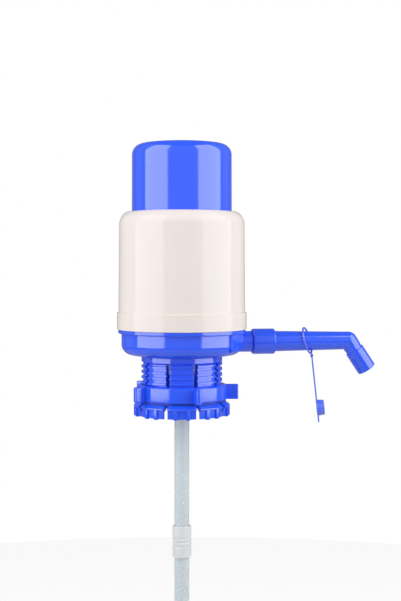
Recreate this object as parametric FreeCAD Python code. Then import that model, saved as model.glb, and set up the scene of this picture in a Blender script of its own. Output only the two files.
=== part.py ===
"""Press-top hand pump for a large water bottle, one STEP file per piece.

Millimetres, +Z up. The origin is on the pump's axis in the plane where the bottle's mouth
meets the neck gasket, and the spout leaves along +X. Pressing the cap squeezes a bellows,
whose air drives the water up the dip tube, through the duct in the bowl and out of the spout.
"""

import FreeCAD, Part

import math
import os

from FreeCAD import Placement, Rotation, Vector

AXIS = Vector(0, 0, 1)
ORIGIN = Vector(0, 0, 0)
FULL_TURN = 360.0

# Fits shared by several pieces
RUN_FIT = 0.08  # radial play of a shaft that turns or slides in its hole
PUSH_FIT = 0.05  # radial play of a tube pushed into its socket
FACE_GAP = 0.05  # play between flat faces of pieces that move apart
FREE_GAP = 0.35  # play between pieces that pass each other without guiding

# Working lengths of shapes that are joined to or cut from others
BITE = 0.5  # how far a joined shape reaches into its neighbour
OVERRUN = 1.0  # how far a cutting shape runs past a face
PICK = 0.01  # an edge this near to a face's end is the one to round
SAME_POINT = 1e-6
ROUND_SHARE = 0.49  # share of a side that one corner's rounding may take

# Roundings shared by moulded pieces
FINE_ROUND = 0.3
EDGE_ROUND = 0.5
SOFT_ROUND = 0.6

# Bottle neck that the pump sits on
NECK_CROWN_R = 27.5
NECK_SLACK = 0.8

# Neck gasket
GASKET_T = 1.8
GASKET_BORE_R = 17.0

# Collet: rim, web, threaded fingers and flared feet
COLLET_RIM_DROP = 1.0  # rim's underside below the seat plane
COLLET_RIM_CONE_H = 1.0
COLLET_WEB_T = 3.0
COLLET_SPIGOT_H = 2.0  # how far the web stands up into the bowl's recess
COLLET_SPIGOT_IN = 1.3  # spigot's radius is this much less than the rim's
FINGER_COUNT = 9
FINGER_WALL = 1.8
FINGER_FIRST_SLOT = 3.0  # degrees
SLOT_W = 3.0
SLOT_TOP = -1.2
FOOT_TOP = -31.9
FOOT_BOTTOM = -42.4
FOOT_SHELF_OUT = 2.0  # shelf beyond the thread's crest
FOOT_FLARE = 3.9  # foot beyond the shelf
FOOT_SHOULDER_H = 2.8
FOOT_SHOULDER_EDGE_H = 1.0
FOOT_SHOULDER_ROUND = 1.2
FOOT_INNER_ROUND = 1.0
FOOT_HEM_IN = 1.4  # the hem's radius is this much less than the shoulder's
FOOT_SKIRT_T = 2.0
FOOT_ROOF_T = 2.6
FOOT_RIB_W = 4.0
FOOT_RIB_OFF = 8.0  # degrees each side of a finger's middle
FOOT_RIB_DROP = 0.6

# Thread between collet and clamp nut, right hand, one start
PITCH = 4.2
THREAD_H = 1.4
THREAD_ROOT_W = 2.0
THREAD_CREST_W = 1.0
THREAD_FIRST = 2.8  # first crest's depth below the seat plane at THREAD_ANGLE
THREAD_TURNS = 6.25
THREAD_ANGLE = -7.0
THREAD_PLAY = 0.35
THREAD_SINK = 0.2  # how far a ridge's foot is sunk in its wall

# Clamp nut and the slip ring under it
NUT_H = 12.2
NUT_WALL = 3.25
NUT_CHAMFER = 1.1
NUT_HEM_R = 1.2
NUT_SHOULDER_R = 0.8
NUT_TOP_LAND = 0.6
LUG_COUNT = 5
LUG_FIRST = -79.5  # degrees
LUG_OUT = 8.9
LUG_T = 3.9
LUG_H = 11.7
LUG_EDGE_R = 0.9
NUT_THREAD_TURNS = 2.25
NUT_RIDGE_SLIM = 0.4  # nut's ridge is this much narrower than the collet's
SLIP_RING_T = 1.0
SLIP_RING_IN = 0.7  # ring's edge inside the nut's
TONGUE_COUNT = 3
TONGUE_PLAY = 0.3
TONGUE_DEPTH = 0.9  # how far a tongue reaches into its slot

# Base bowl
BOWL_R = 47.0
BOWL_WALL = 2.2
BOWL_FLOOR_T = 2.4
BOWL_H = 17.9  # from the collet's rim to the underside of the lip
BOWL_CONE = 9.0  # degrees that the underside rises outwards
BOWL_EDGE_R = 8.0
LIP_OUT = 2.6
LIP_H = 3.0
LEDGE_DROP = 1.7  # ledge of the valve plate below the top of the lip
SPIGOT_H = 10.3
SPIGOT_T = 1.95
SNAP_H = 0.45
SNAP_W = 1.2
PAD_STAND = 0.6
PAD_RISE = 2.0  # pad's foot above the bowl's lower corner
PAD_ROUND = 4.0
PAD_HALF_ANGLE = 45.0

# Water way in the bowl
DUCT_DROP = 10.1  # duct's axis below the top of the lip
WATER_R = 3.6
DUCT_WALL = 2.8
RISER_WALL = 2.75
RISER_BELOW = 4.8  # riser's foot below the web's top
SOCKET_SHOULDER = 4.6  # end of the dip tube's socket below the duct's axis
PORT_R = 8.15
PORT_L = 8.0
SPIGOT_OUT_R = 6.0
SPIGOT_OUT_L = 11.0
RING_GROOVE_AT = 6.6  # groove's middle from the port's face
RING_GROOVE_W = 1.9
RING_GROOVE_DEPTH = 1.1
RING_SIDE_PLAY = 0.15
SNAP_GROOVE_AT = 1.6
SNAP_GROOVE_W = 1.8
SNAP_GROOVE_DEPTH = 0.5
SNAP_BEAD_PLAY = 0.3
SNAP_BEAD_RAMP = 0.3
AIR_HOLE_R = 1.8
AIR_HOLE_COUNT = 6
AIR_HOLE_PCD_R = 12.7

# Screws
SCREW_R = 1.4
SCREW_HEAD_R = 2.6
SCREW_HEAD_H = 2.0
SCREW_BOSS_R = 3.2
SCREW_L = 12.0
COLLET_SCREW_L = 9.0
COLLET_SCREW_COUNT = 4
COLLET_SCREW_IN = 5.3  # screws' circle inside the bore
COLLET_SCREW_FIRST = 45.0
FOOT_SCREW_COUNT = 6
FOOT_SCREW_IN = 4.4  # screws' circle inside the ledge's wall
FOOT_SCREW_FIRST = 30.0
TOP_SCREW_COUNT = 4
TOP_SCREW_IN = 3.6  # screws' circle inside the plate's edge
TOP_SCREW_FIRST = 45.0

# White shell
SHELL_H = 91.4
SHELL_TAPER = 0.5
SHELL_WALL = 2.0
SHELL_SHOULDER_R = 8.0
SHELL_MOUTH_ROUND = 0.7
BAND_OUT = 3.5  # beyond the bowl's side
BAND_STEP = 1.2
BAND_H = 13.2
BAND_WALL = 2.5
BAND_CLEAR = 1.0  # the band's bore runs this far past the bowl's spigot
BAND_CONE_H = 1.0
STOP_RIB_COUNT = 6
STOP_RIB_W = 2.0
STOP_RIB_IN = 2.6

# Press cap
CAP_IN = 9.9  # cap's side inside the shell's
CAP_DRAFT = 0.1
CAP_WALL = 2.0
CAP_ROOF_T = 2.5
CAP_STAND = 54.0
CAP_CROWN = 1.9
CAP_EDGE_R = 8.2
CAP_GAP = 0.5
CAP_FLANGE_H = 6.6
CAP_FLANGE_EDGE_H = 1.3
CAP_FLANGE_LAND = 1.6  # width of the flange's flat top beyond the shell's mouth
CAP_SLIDE_GAP = 0.5
STROKE = 45.0

# Bellows, its plates and rings
PLATE_T = 3.0
RING_T = 3.0
FLANGE_T = 2.0
BELLOWS_FLANGE_W = 7.4
BELLOWS_FOLD_DEPTH = 5.5
BELLOWS_WALL = 1.2
BELLOWS_FOLDS = 12
BELLOWS_NECK = 5.6
BELLOWS_FOLD_ROUND = 0.8
TOP_PLATE_DROP = 13.2  # plate's top below the cap's highest point
PLATE_GAP = 0.2

# Return spring
WIRE_R = 1.0
SPRING_IN = 7.0  # coil's radius inside the bellows' root
SPRING_TURNS = 9.0
SPRING_RIB_T = 1.2
SPRING_RIB_H = 2.5

# Check valves
VALVE_R = 5.0
VALVE_T = 1.2
VALVE_STEM_R = 1.1
VALVE_BULB_R = 1.9
VALVE_BULB_H = 2.2
VALVE_TIP_R = 0.7
VALVE_LIFT = 1.2
VALVE_PORT_R = 0.8
VALVE_PORT_COUNT = 6
VALVE_PORT_PCD_R = 3.2
OUTLET_VALVE_X = -14.0

# Spout with its coupling and nozzle
COUPLING_WALL = 3.87
COUPLING_L = 18.0
COUPLING_GAP = 0.2
COUPLING_ROUND = 1.4
SPOUT_ROOT_R = 8.0
SPOUT_BEND_R = 7.05
SPOUT_REACH = 86.3  # bend's distance from the bowl's side
SPOUT_WATER_R = 4.6
SPOUT_END_GAP = 0.4
SPOUT_DROP_ANGLE = 56.5  # degrees below level
SPOUT_TIP_R = 6.6
SPOUT_TIP_AT = 9.0  # nozzle sleeve's start along the lower leg
SPOUT_TIP_L = 6.5  # how far the leg reaches into the sleeve
NOZZLE_R = 7.55
NOZZLE_L = 18.5
NOZZLE_BORE_R = 6.15
NOZZLE_ROUND = 1.2

# Stopper and the loop that holds it on the spout
LOOP_OUT = 53.0  # loop's distance from the bowl's side
LOOP_TILT = 17.0  # degrees that its foot swings out along the spout
LOOP_YAW = 24.0  # degrees that it is turned on its upright axis
LOOP_HALF_H = 9.9
LOOP_LIFT = 0.3  # loop's middle above the spout's axis
LOOP_GRIP = 0.7
LOOP_T = 1.0
LOOP_W = 1.5
EYE_PIN_R = 0.7
EYE_WALL = 0.6
STRAP_W = 6.0
STRAP_T = 1.0
STRAP_LEAN = 6.0
STRAP_YAW = 15.0  # degrees that pin and strap are turned
STRAP_L = 41.4
PULL_TAB_L = 11.6
PLUG_FLANGE_R = 7.4
PLUG_ROOT_R = 6.3
PLUG_TIP_R = 5.85
PLUG_H = 6.4
PLUG_WALL = 1.2

# Dip tube
DIP_R = 5.8
DIP_WALL = 1.2
DIP_SECTIONS = 3
DIP_SECTION_L = 150.0
JOINER_L = 24.0
JOINER_WALL = 1.5
JOINER_STOP_T = 1.0
TUBE_FOOT_L = 26.0
TUBE_FOOT_GRIP = 14.0
TUBE_FOOT_NOTCH_W = 4.0
TUBE_FOOT_NOTCH_H = 7.0

# Levels and radii that follow from the sizes above
COLLET_BORE_R = NECK_CROWN_R + NECK_SLACK
COLLET_SCREW_PCD_R = COLLET_BORE_R - COLLET_SCREW_IN
THREAD_ROOT_R = COLLET_BORE_R + FINGER_WALL
THREAD_CREST_R = THREAD_ROOT_R + THREAD_H
COLLET_RIM_R = THREAD_CREST_R
COLLET_SPIGOT_R = COLLET_RIM_R - COLLET_SPIGOT_IN
FOOT_SHELF_R = THREAD_CREST_R + FOOT_SHELF_OUT
FOOT_R = FOOT_SHELF_R + FOOT_FLARE
NUT_BORE_R = THREAD_CREST_R + THREAD_PLAY
NUT_R = NUT_BORE_R + NUT_WALL
LUG_R = NUT_R + LUG_OUT
SLIP_RING_R = NUT_R - SLIP_RING_IN
TONGUE_R = THREAD_ROOT_R - TONGUE_DEPTH
WEB_TOP = GASKET_T + COLLET_WEB_T
RIM_TOP = WEB_TOP - COLLET_SPIGOT_H
FLOOR_TOP = WEB_TOP + BOWL_FLOOR_T
LIP_BOTTOM = RIM_TOP + BOWL_H
BODY_Z = LIP_BOTTOM + LIP_H
LEDGE_Z = BODY_Z - LEDGE_DROP
SPIGOT_TOP = BODY_Z + SPIGOT_H
SNAP_Z = SPIGOT_TOP - 2 * SNAP_W
DUCT_Z = BODY_Z - DUCT_DROP
DUCT_R = WATER_R + DUCT_WALL
SOCKET_TOP = DUCT_Z - SOCKET_SHOULDER
LIP_R = BOWL_R + LIP_OUT
PORT_END = BOWL_R + PORT_L
BOWL_BORE_R = BOWL_R - BOWL_WALL
BAND_R = BOWL_R + BAND_OUT
BAND_BORE_R = BAND_R - BAND_WALL
SPIGOT_R = BAND_BORE_R - PUSH_FIT
LEDGE_R = SPIGOT_R - SPIGOT_T
FOOT_SCREW_PCD_R = LEDGE_R - FOOT_SCREW_IN
FOOT_BOSS_R = BOWL_BORE_R - FOOT_SCREW_PCD_R + BITE
SHELL_FOOT_R = BAND_R - BAND_STEP
SHELL_TOP_R = SHELL_FOOT_R - SHELL_TAPER
SHELL_BORE_R = SHELL_TOP_R - SHELL_WALL
SHELL_TOP = BODY_Z + SHELL_H
CAP_TOP = SHELL_TOP + CAP_STAND
CAP_R = SHELL_TOP_R - CAP_IN
CAP_BORE_R = CAP_R - CAP_WALL
CAP_CEILING = CAP_TOP - CAP_CROWN - CAP_ROOF_T
CAP_FLANGE_TOP = SHELL_TOP - SHELL_WALL - FACE_GAP
CAP_FLANGE_BOTTOM = CAP_FLANGE_TOP - CAP_FLANGE_H
PLATE_R = LEDGE_R - PLATE_GAP
PLATE_TOP = LEDGE_Z + PLATE_T
FOOT_FLANGE_TOP = PLATE_TOP + FLANGE_T
FOOT_RING_TOP = FOOT_FLANGE_TOP + RING_T
TOP_PLATE_R = CAP_BORE_R - CAP_GAP
TOP_SCREW_PCD_R = TOP_PLATE_R - TOP_SCREW_IN
BELLOWS_ROOT_R = TOP_PLATE_R - BELLOWS_FLANGE_W
BELLOWS_R = BELLOWS_ROOT_R + BELLOWS_FOLD_DEPTH
SPRING_R = BELLOWS_ROOT_R - SPRING_IN
TOP_PLATE_TOP = CAP_TOP - TOP_PLATE_DROP
TOP_PLATE_BOTTOM = TOP_PLATE_TOP - PLATE_T
TOP_FLANGE_BOTTOM = TOP_PLATE_BOTTOM - FLANGE_T
TOP_RING_BOTTOM = TOP_FLANGE_BOTTOM - RING_T
SLIP_RING_BOTTOM = FOOT_TOP + FACE_GAP
NUT_BOTTOM = SLIP_RING_BOTTOM + SLIP_RING_T + FACE_GAP
NUT_TOP = NUT_BOTTOM + NUT_H
COUPLING_X = PORT_END + COUPLING_GAP
COUPLING_END = COUPLING_X + COUPLING_L
COUPLING_BORE_R = SPIGOT_OUT_R + RUN_FIT
COUPLING_R = COUPLING_BORE_R + COUPLING_WALL
SPOUT_ROOT_X = PORT_END + SPIGOT_OUT_L + SPOUT_END_GAP
SPOUT_BEND_X = BOWL_R + SPOUT_REACH
SPOUT_LENGTH = SPOUT_BEND_X - COUPLING_END
LOOP_X = BOWL_R + LOOP_OUT
EYE_BORE_R = EYE_PIN_R + RUN_FIT
EYE_R = EYE_BORE_R + EYE_WALL
EYE_BRIDGE = EYE_R + FREE_GAP
LOOP_Z = DUCT_Z + LOOP_LIFT
DIP_SOCKET_R = DIP_R + PUSH_FIT
DIP_BORE_R = DIP_R - DIP_WALL
RISER_R = DIP_SOCKET_R + RISER_WALL


# Helpers


def outline(corners, to_space):
    """Face inside corners (u, v) or (u, v, radius), each rounded by its radius."""
    flat = [Vector(c[0], c[1], 0) for c in corners]
    radii = [c[2] if len(c) > 2 else 0.0 for c in corners]
    count = len(flat)
    joints = []
    for i, corner in enumerate(flat):
        back = flat[i - 1] - corner
        ahead = flat[(i + 1) % count] - corner
        if radii[i] == 0.0:
            joints.append((corner, None, corner))
            continue
        half = back.getAngle(ahead) / 2
        side = min(back.Length, ahead.Length)
        reach = min(radii[i] / math.tan(half), ROUND_SHARE * side)
        radius = reach * math.tan(half)
        back.normalize()
        ahead.normalize()
        middle = back + ahead
        middle.normalize()
        mid = corner + middle * (radius / math.sin(half) - radius)
        joints.append((corner + back * reach, mid, corner + ahead * reach))
    edges = []
    for i, (start, mid, end) in enumerate(joints):
        if mid is not None:
            edges.append(Part.Arc(to_space(start), to_space(mid), to_space(end)).toShape())
        following = joints[(i + 1) % count][0]
        if end.distanceToPoint(following) > SAME_POINT:
            edges.append(Part.LineSegment(to_space(end), to_space(following)).toShape())
    return Part.Face(Part.Wire(edges))


def lathe(corners, start=0.0, sweep=FULL_TURN):
    """Solid turned about the Z axis from (radius, z) corners."""
    face = outline(corners, lambda p: Vector(p.x, 0, p.y))
    solid = face.revolve(ORIGIN, AXIS, sweep)
    solid.rotate(ORIGIN, AXIS, start)
    return solid


def ring(outer_r, inner_r, bottom, top):
    """Plain ring about the Z axis."""
    return lathe([(inner_r, bottom), (outer_r, bottom), (outer_r, top), (inner_r, top)])


def rod(radius, bottom, top, x=0.0, y=0.0):
    """Upright cylinder."""
    return Part.makeCylinder(radius, top - bottom, Vector(x, y, bottom))


def tube_x(outer_r, inner_r, start, end, z):
    """Tube along X at the height z."""
    outer = Part.makeCylinder(outer_r, end - start, Vector(start, 0, z), Vector(1, 0, 0))
    if inner_r == 0.0:
        return outer
    return outer.cut(Part.makeCylinder(inner_r, end - start, Vector(start, 0, z), Vector(1, 0, 0)))


def turned(shape, angle):
    """Copy of a shape turned about the Z axis."""
    copy = shape.copy()
    copy.rotate(ORIGIN, AXIS, angle)
    return copy


def around(shape, count, first=0.0):
    """Copies of a shape spaced evenly about the Z axis."""
    return [turned(shape, first + FULL_TURN * i / count) for i in range(count)]


def join(first, *others):
    """One solid from touching shapes."""
    return first.fuse(list(others)).removeSplitter()


def circle_place(count, radius, first):
    """Points (x, y) spaced evenly on a circle."""
    angles = [math.radians(first + FULL_TURN * i / count) for i in range(count)]
    return [(radius * math.cos(a), radius * math.sin(a)) for a in angles]


def thread(root_r, crest_r, root_w, crest_w, bottom, turns, angle):
    """Helical ridge from root_r to crest_r that starts at the given height and angle."""
    height = turns * PITCH
    helix = Part.makeHelix(PITCH, height, root_r)
    half_root = root_w / 2
    half_crest = crest_w / 2
    points = [
        Vector(root_r, 0, -half_root),
        Vector(crest_r, 0, -half_crest),
        Vector(crest_r, 0, half_crest),
        Vector(root_r, 0, half_root),
    ]
    section = Part.makePolygon(points + points[:1])
    ridge = Part.Wire(helix.Edges).makePipeShell([section], True, True)
    ridge.translate(Vector(0, 0, bottom))
    return turned(ridge, angle)


# Collar


def neck_gasket():
    """Flat ring between the bottle's mouth and the collet's web."""
    return ring(COLLET_BORE_R - PUSH_FIT, GASKET_BORE_R, 0, GASKET_T)


def collet_turned_part():
    """Rim, web, finger sleeve and flared feet before the slots are cut."""
    hem_r = FOOT_R - FOOT_HEM_IN
    shoulder = FOOT_TOP - FOOT_SHOULDER_H
    roof = FOOT_TOP - FOOT_ROOF_T
    return lathe([
        (GASKET_BORE_R, GASKET_T),
        (COLLET_BORE_R, GASKET_T),
        (COLLET_BORE_R, roof, FOOT_INNER_ROUND),
        (hem_r - FOOT_SKIRT_T, roof - FOOT_SHOULDER_H, FOOT_INNER_ROUND),
        (hem_r - FOOT_SKIRT_T, FOOT_BOTTOM),
        (hem_r, FOOT_BOTTOM, SOFT_ROUND),
        (hem_r, shoulder - FOOT_SHOULDER_EDGE_H),
        (FOOT_R, shoulder - FOOT_SHOULDER_EDGE_H, FINE_ROUND),
        (FOOT_R, shoulder, FOOT_SHOULDER_ROUND),
        (FOOT_SHELF_R, FOOT_TOP, SOFT_ROUND),
        (THREAD_ROOT_R, FOOT_TOP),
        (THREAD_ROOT_R, -COLLET_RIM_DROP - COLLET_RIM_CONE_H, EDGE_ROUND),
        (COLLET_RIM_R, -COLLET_RIM_DROP),
        (COLLET_RIM_R, RIM_TOP),
        (COLLET_SPIGOT_R, RIM_TOP),
        (COLLET_SPIGOT_R, WEB_TOP),
        (GASKET_BORE_R, WEB_TOP),
    ])


def thread_start():
    """Height and angle of the lower end of the collet's thread."""
    bottom = -THREAD_FIRST - THREAD_TURNS * PITCH
    angle = THREAD_ANGLE - (THREAD_TURNS % 1.0) * FULL_TURN
    return bottom, angle


def foot_ribs():
    """Two short ribs on each foot, a little longer than the hem."""
    hem_r = FOOT_R - FOOT_HEM_IN
    bottom = FOOT_BOTTOM - FOOT_RIB_DROP
    top = FOOT_TOP - FOOT_SHOULDER_H - FOOT_SHOULDER_EDGE_H + BITE
    inner = hem_r - FOOT_SKIRT_T
    rib = Part.makeBox(FOOT_R - inner, FOOT_RIB_W, top - bottom)
    rib.translate(Vector(inner, -FOOT_RIB_W / 2, bottom))
    rib = rib.common(ring(FOOT_R, inner, bottom, top))
    middle = FINGER_FIRST_SLOT + FULL_TURN / FINGER_COUNT / 2
    ribs = []
    for side in (-1, 1):
        ribs += around(rib, FINGER_COUNT, middle + side * FOOT_RIB_OFF)
    return ribs


def neck_collet():
    """Split collar that the clamp nut closes on the bottle's neck."""
    bottom, angle = thread_start()
    ridge = thread(
        THREAD_ROOT_R - THREAD_SINK,
        THREAD_CREST_R,
        THREAD_ROOT_W,
        THREAD_CREST_W,
        bottom,
        THREAD_TURNS,
        angle,
    )
    collar = collet_turned_part().fuse([ridge] + foot_ribs())
    deep = FOOT_BOTTOM - FOOT_RIB_DROP - OVERRUN
    inner = COLLET_BORE_R - OVERRUN
    slot = Part.makeBox(FOOT_R, SLOT_W, SLOT_TOP - deep, Vector(inner, -SLOT_W / 2, deep))
    collar = collar.cut(around(slot, FINGER_COUNT, FINGER_FIRST_SLOT))
    return collar.cut(collet_screw_solids())


def collet_screw_solids():
    """Countersunk screws from below, through the web into the bowl."""
    sink = SCREW_HEAD_R - SCREW_R
    screws = []
    for x, y in circle_place(COLLET_SCREW_COUNT, COLLET_SCREW_PCD_R, COLLET_SCREW_FIRST):
        head = Part.makeCone(SCREW_HEAD_R, SCREW_R, sink, Vector(x, y, GASKET_T))
        shank = rod(SCREW_R, GASKET_T, GASKET_T + COLLET_SCREW_L, x, y)
        screws.append(join(head, shank))
    return screws


def clamp_nut():
    """Threaded ring with five lugs for the hand."""
    body = lathe([
        (NUT_BORE_R, NUT_BOTTOM),
        (NUT_R, NUT_BOTTOM, NUT_HEM_R),
        (NUT_R, NUT_TOP - NUT_CHAMFER, NUT_SHOULDER_R),
        (NUT_BORE_R + NUT_TOP_LAND, NUT_TOP, FINE_ROUND),
        (NUT_BORE_R, NUT_TOP),
    ])
    root = NUT_BORE_R + BITE
    lug = Part.makeBox(LUG_R - root, LUG_T, LUG_H, Vector(root, -LUG_T / 2, NUT_BOTTOM))
    outer_edges = [e for e in lug.Edges if e.BoundBox.XMin > LUG_R - PICK]
    lug = lug.makeFillet(LUG_EDGE_R, outer_edges)
    bottom, angle = thread_start()
    rise = NUT_BOTTOM + THREAD_ROOT_W / 2 - bottom
    start_angle = angle + rise / PITCH * FULL_TURN + FULL_TURN / 2
    ridge = thread(
        NUT_BORE_R + THREAD_SINK,
        THREAD_ROOT_R + THREAD_PLAY,
        THREAD_ROOT_W - NUT_RIDGE_SLIM,
        THREAD_CREST_W - NUT_RIDGE_SLIM / 2,
        bottom + rise,
        NUT_THREAD_TURNS,
        start_angle,
    )
    return join(body, ridge, *around(lug, LUG_COUNT, LUG_FIRST))


def slip_ring():
    """Thin ring that keeps the turning nut off the feet, keyed in the collet's slots."""
    top = SLIP_RING_BOTTOM + SLIP_RING_T
    width = SLOT_W - 2 * TONGUE_PLAY
    tongue = Part.makeBox(NUT_BORE_R + BITE - TONGUE_R, width, SLIP_RING_T)
    tongue.translate(Vector(TONGUE_R, -width / 2, SLIP_RING_BOTTOM))
    body = ring(SLIP_RING_R, NUT_BORE_R, SLIP_RING_BOTTOM, top)
    return join(body, *around(tongue, TONGUE_COUNT, FINGER_FIRST_SLOT))


# Bowl


def cone_z(radius):
    """Height of the bowl's underside at a radius."""
    return RIM_TOP + (radius - COLLET_RIM_R) * math.tan(math.radians(BOWL_CONE))


def bowl_turned_part():
    """Bowl with its lip and the spigot that the shell snaps over."""
    recess_r = COLLET_SPIGOT_R + PUSH_FIT
    return lathe([
        (RISER_R - BITE, WEB_TOP),
        (recess_r, WEB_TOP),
        (recess_r, RIM_TOP),
        (COLLET_RIM_R, RIM_TOP),
        (BOWL_R, cone_z(BOWL_R), BOWL_EDGE_R),
        (BOWL_R, LIP_BOTTOM),
        (LIP_R, LIP_BOTTOM, SOFT_ROUND),
        (LIP_R, BODY_Z, FINE_ROUND),
        (SPIGOT_R, BODY_Z),
        (SPIGOT_R, SNAP_Z - SNAP_W),
        (SPIGOT_R + SNAP_H, SNAP_Z),
        (SPIGOT_R, SNAP_Z + SNAP_W),
        (SPIGOT_R, SPIGOT_TOP, EDGE_ROUND),
        (LEDGE_R, SPIGOT_TOP, EDGE_ROUND),
        (LEDGE_R, LEDGE_Z),
        (BOWL_BORE_R, LEDGE_Z),
        (BOWL_BORE_R, FLOOR_TOP, BOWL_EDGE_R - BOWL_WALL),
        (RISER_R - BITE, FLOOR_TOP),
    ])


def port_pad():
    """Slightly raised panel of the bowl's side round the port."""
    inner = BOWL_BORE_R + BITE
    low = cone_z(BOWL_R) + PAD_RISE
    return lathe(
        [
            (inner, low),
            (BOWL_R + PAD_STAND, low, PAD_ROUND),
            (BOWL_R + PAD_STAND, LIP_BOTTOM),
            (inner, LIP_BOTTOM),
        ],
        -PAD_HALF_ANGLE,
        2 * PAD_HALF_ANGLE,
    )


def port_spigot():
    """Smooth outer end of the port, grooved for the O-ring and the coupling's snap bead."""
    end = PORT_END + SPIGOT_OUT_L
    ring_at = PORT_END + RING_GROOVE_AT
    snap_at = PORT_END + SNAP_GROOVE_AT
    spigot = tube_x(SPIGOT_OUT_R, 0.0, PORT_END - BITE, end, DUCT_Z)
    ring_cut = tube_x(
        SPIGOT_OUT_R + OVERRUN, SPIGOT_OUT_R - RING_GROOVE_DEPTH,
        ring_at - RING_GROOVE_W / 2, ring_at + RING_GROOVE_W / 2, DUCT_Z,
    )
    snap_cut = tube_x(
        SPIGOT_OUT_R + OVERRUN, SPIGOT_OUT_R - SNAP_GROOVE_DEPTH,
        snap_at - SNAP_GROOVE_W / 2, snap_at + SNAP_GROOVE_W / 2, DUCT_Z,
    )
    return spigot.cut([ring_cut, snap_cut])


def foot_screw_bosses():
    """Columns inside the bowl's wall that take the foot ring's screws."""
    bosses = []
    for x, y in circle_place(FOOT_SCREW_COUNT, FOOT_SCREW_PCD_R, FOOT_SCREW_FIRST):
        bosses.append(rod(FOOT_BOSS_R, FLOOR_TOP - BITE, LEDGE_Z, x, y))
    return bosses


def collet_screw_bosses():
    """Columns on the bowl's floor that take the collet's screws."""
    top = GASKET_T + COLLET_SCREW_L + SCREW_R
    bosses = []
    for x, y in circle_place(COLLET_SCREW_COUNT, COLLET_SCREW_PCD_R, COLLET_SCREW_FIRST):
        bosses.append(rod(SCREW_BOSS_R, FLOOR_TOP - BITE, top, x, y))
    return bosses


def base_bowl():
    """Blue bowl with the riser, the water duct and the port."""
    riser_bottom = WEB_TOP - RISER_BELOW
    riser_top = DUCT_Z + DUCT_R
    riser = rod(RISER_R, riser_bottom, riser_top)
    duct = tube_x(DUCT_R, 0.0, 0.0, BOWL_BORE_R + BITE, DUCT_Z)
    port = tube_x(PORT_R, 0.0, BOWL_BORE_R + BITE, PORT_END, DUCT_Z)
    bosses = foot_screw_bosses() + collet_screw_bosses()
    bowl = bowl_turned_part().fuse([port_pad(), riser, duct, port, port_spigot()] + bosses)
    water = [
        tube_x(WATER_R, 0.0, 0.0, PORT_END + SPIGOT_OUT_L + OVERRUN, DUCT_Z),
        rod(WATER_R, SOCKET_TOP - OVERRUN, DUCT_Z),
        Part.makeSphere(WATER_R, Vector(0, 0, DUCT_Z)),
        rod(DIP_SOCKET_R, riser_bottom - OVERRUN, SOCKET_TOP),
    ]
    air = [
        rod(AIR_HOLE_R, WEB_TOP - OVERRUN, FLOOR_TOP + OVERRUN, x, y)
        for x, y in circle_place(AIR_HOLE_COUNT, AIR_HOLE_PCD_R, FULL_TURN / AIR_HOLE_COUNT / 2)
    ]
    bowl = bowl.cut(water + air + collet_screw_solids() + foot_screw_solids())
    return bowl.removeSplitter()


# Bellows and valves


def pan_screw(x, y, seat, direction):
    """Pan-head screw at (x, y) whose head sits on the level seat; direction is 1 up, -1 down."""
    head = rod(SCREW_HEAD_R, 0, SCREW_HEAD_H)
    crown = [e for e in head.Edges if e.BoundBox.ZMin > SCREW_HEAD_H - PICK]
    head = head.makeFillet(SCREW_HEAD_H / 2, crown)
    screw = join(head, rod(SCREW_R, -SCREW_L, BITE))
    if direction > 0:
        screw.rotate(ORIGIN, Vector(1, 0, 0), 180)
    screw.translate(Vector(x, y, seat))
    return screw


def foot_screw_solids():
    """Screws through foot ring, bellows flange and valve plate into the bowl's bosses."""
    places = circle_place(FOOT_SCREW_COUNT, FOOT_SCREW_PCD_R, FOOT_SCREW_FIRST)
    return [pan_screw(x, y, FOOT_RING_TOP, -1) for x, y in places]


def top_screw_solids():
    """Screws from below through top ring, flange and plate into the cap's bosses."""
    places = circle_place(TOP_SCREW_COUNT, TOP_SCREW_PCD_R, TOP_SCREW_FIRST)
    return [pan_screw(x, y, TOP_RING_BOTTOM, 1) for x, y in places]


def valve_holes(x, bottom, top):
    """Stem hole and port holes of a check valve."""
    holes = [rod(VALVE_STEM_R + RUN_FIT, bottom - OVERRUN, top + OVERRUN, x)]
    for px, py in circle_place(VALVE_PORT_COUNT, VALVE_PORT_PCD_R, 0.0):
        holes.append(rod(VALVE_PORT_R, bottom - OVERRUN, top + OVERRUN, x + px, py))
    return holes


def check_valve(x, plate_bottom, plate_top):
    """Rubber poppet under a plate: disc below, stem through it, snap bulb above."""
    disc_top = plate_bottom - FACE_GAP
    bulb = plate_top + VALVE_LIFT + FACE_GAP
    poppet = lathe([
        (0, disc_top - VALVE_T),
        (VALVE_R, disc_top - VALVE_T, FINE_ROUND),
        (VALVE_R, disc_top),
        (VALVE_STEM_R, disc_top),
        (VALVE_STEM_R, bulb),
        (VALVE_BULB_R, bulb, FINE_ROUND),
        (VALVE_TIP_R, bulb + VALVE_BULB_H, FINE_ROUND),
        (0, bulb + VALVE_BULB_H),
    ])
    poppet.translate(Vector(x, 0, 0))
    return poppet


def spring_rib(bottom, top):
    """Ring that centres an end of the return spring."""
    outer = SPRING_R - WIRE_R - FREE_GAP
    return ring(outer, outer - SPRING_RIB_T, bottom, top)


def valve_plate():
    """Plate on the bowl's ledge that closes the bellows below."""
    plate = rod(PLATE_R, LEDGE_Z, PLATE_TOP)
    plate = join(plate, spring_rib(PLATE_TOP - BITE, PLATE_TOP + SPRING_RIB_H))
    return plate.cut(valve_holes(OUTLET_VALVE_X, LEDGE_Z, PLATE_TOP) + foot_screw_solids())


def bellows_foot_ring():
    """Ring that clamps the bellows' lower flange."""
    plain = ring(PLATE_R, BELLOWS_ROOT_R + FREE_GAP, FOOT_FLANGE_TOP, FOOT_RING_TOP)
    return plain.cut(foot_screw_solids())


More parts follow.
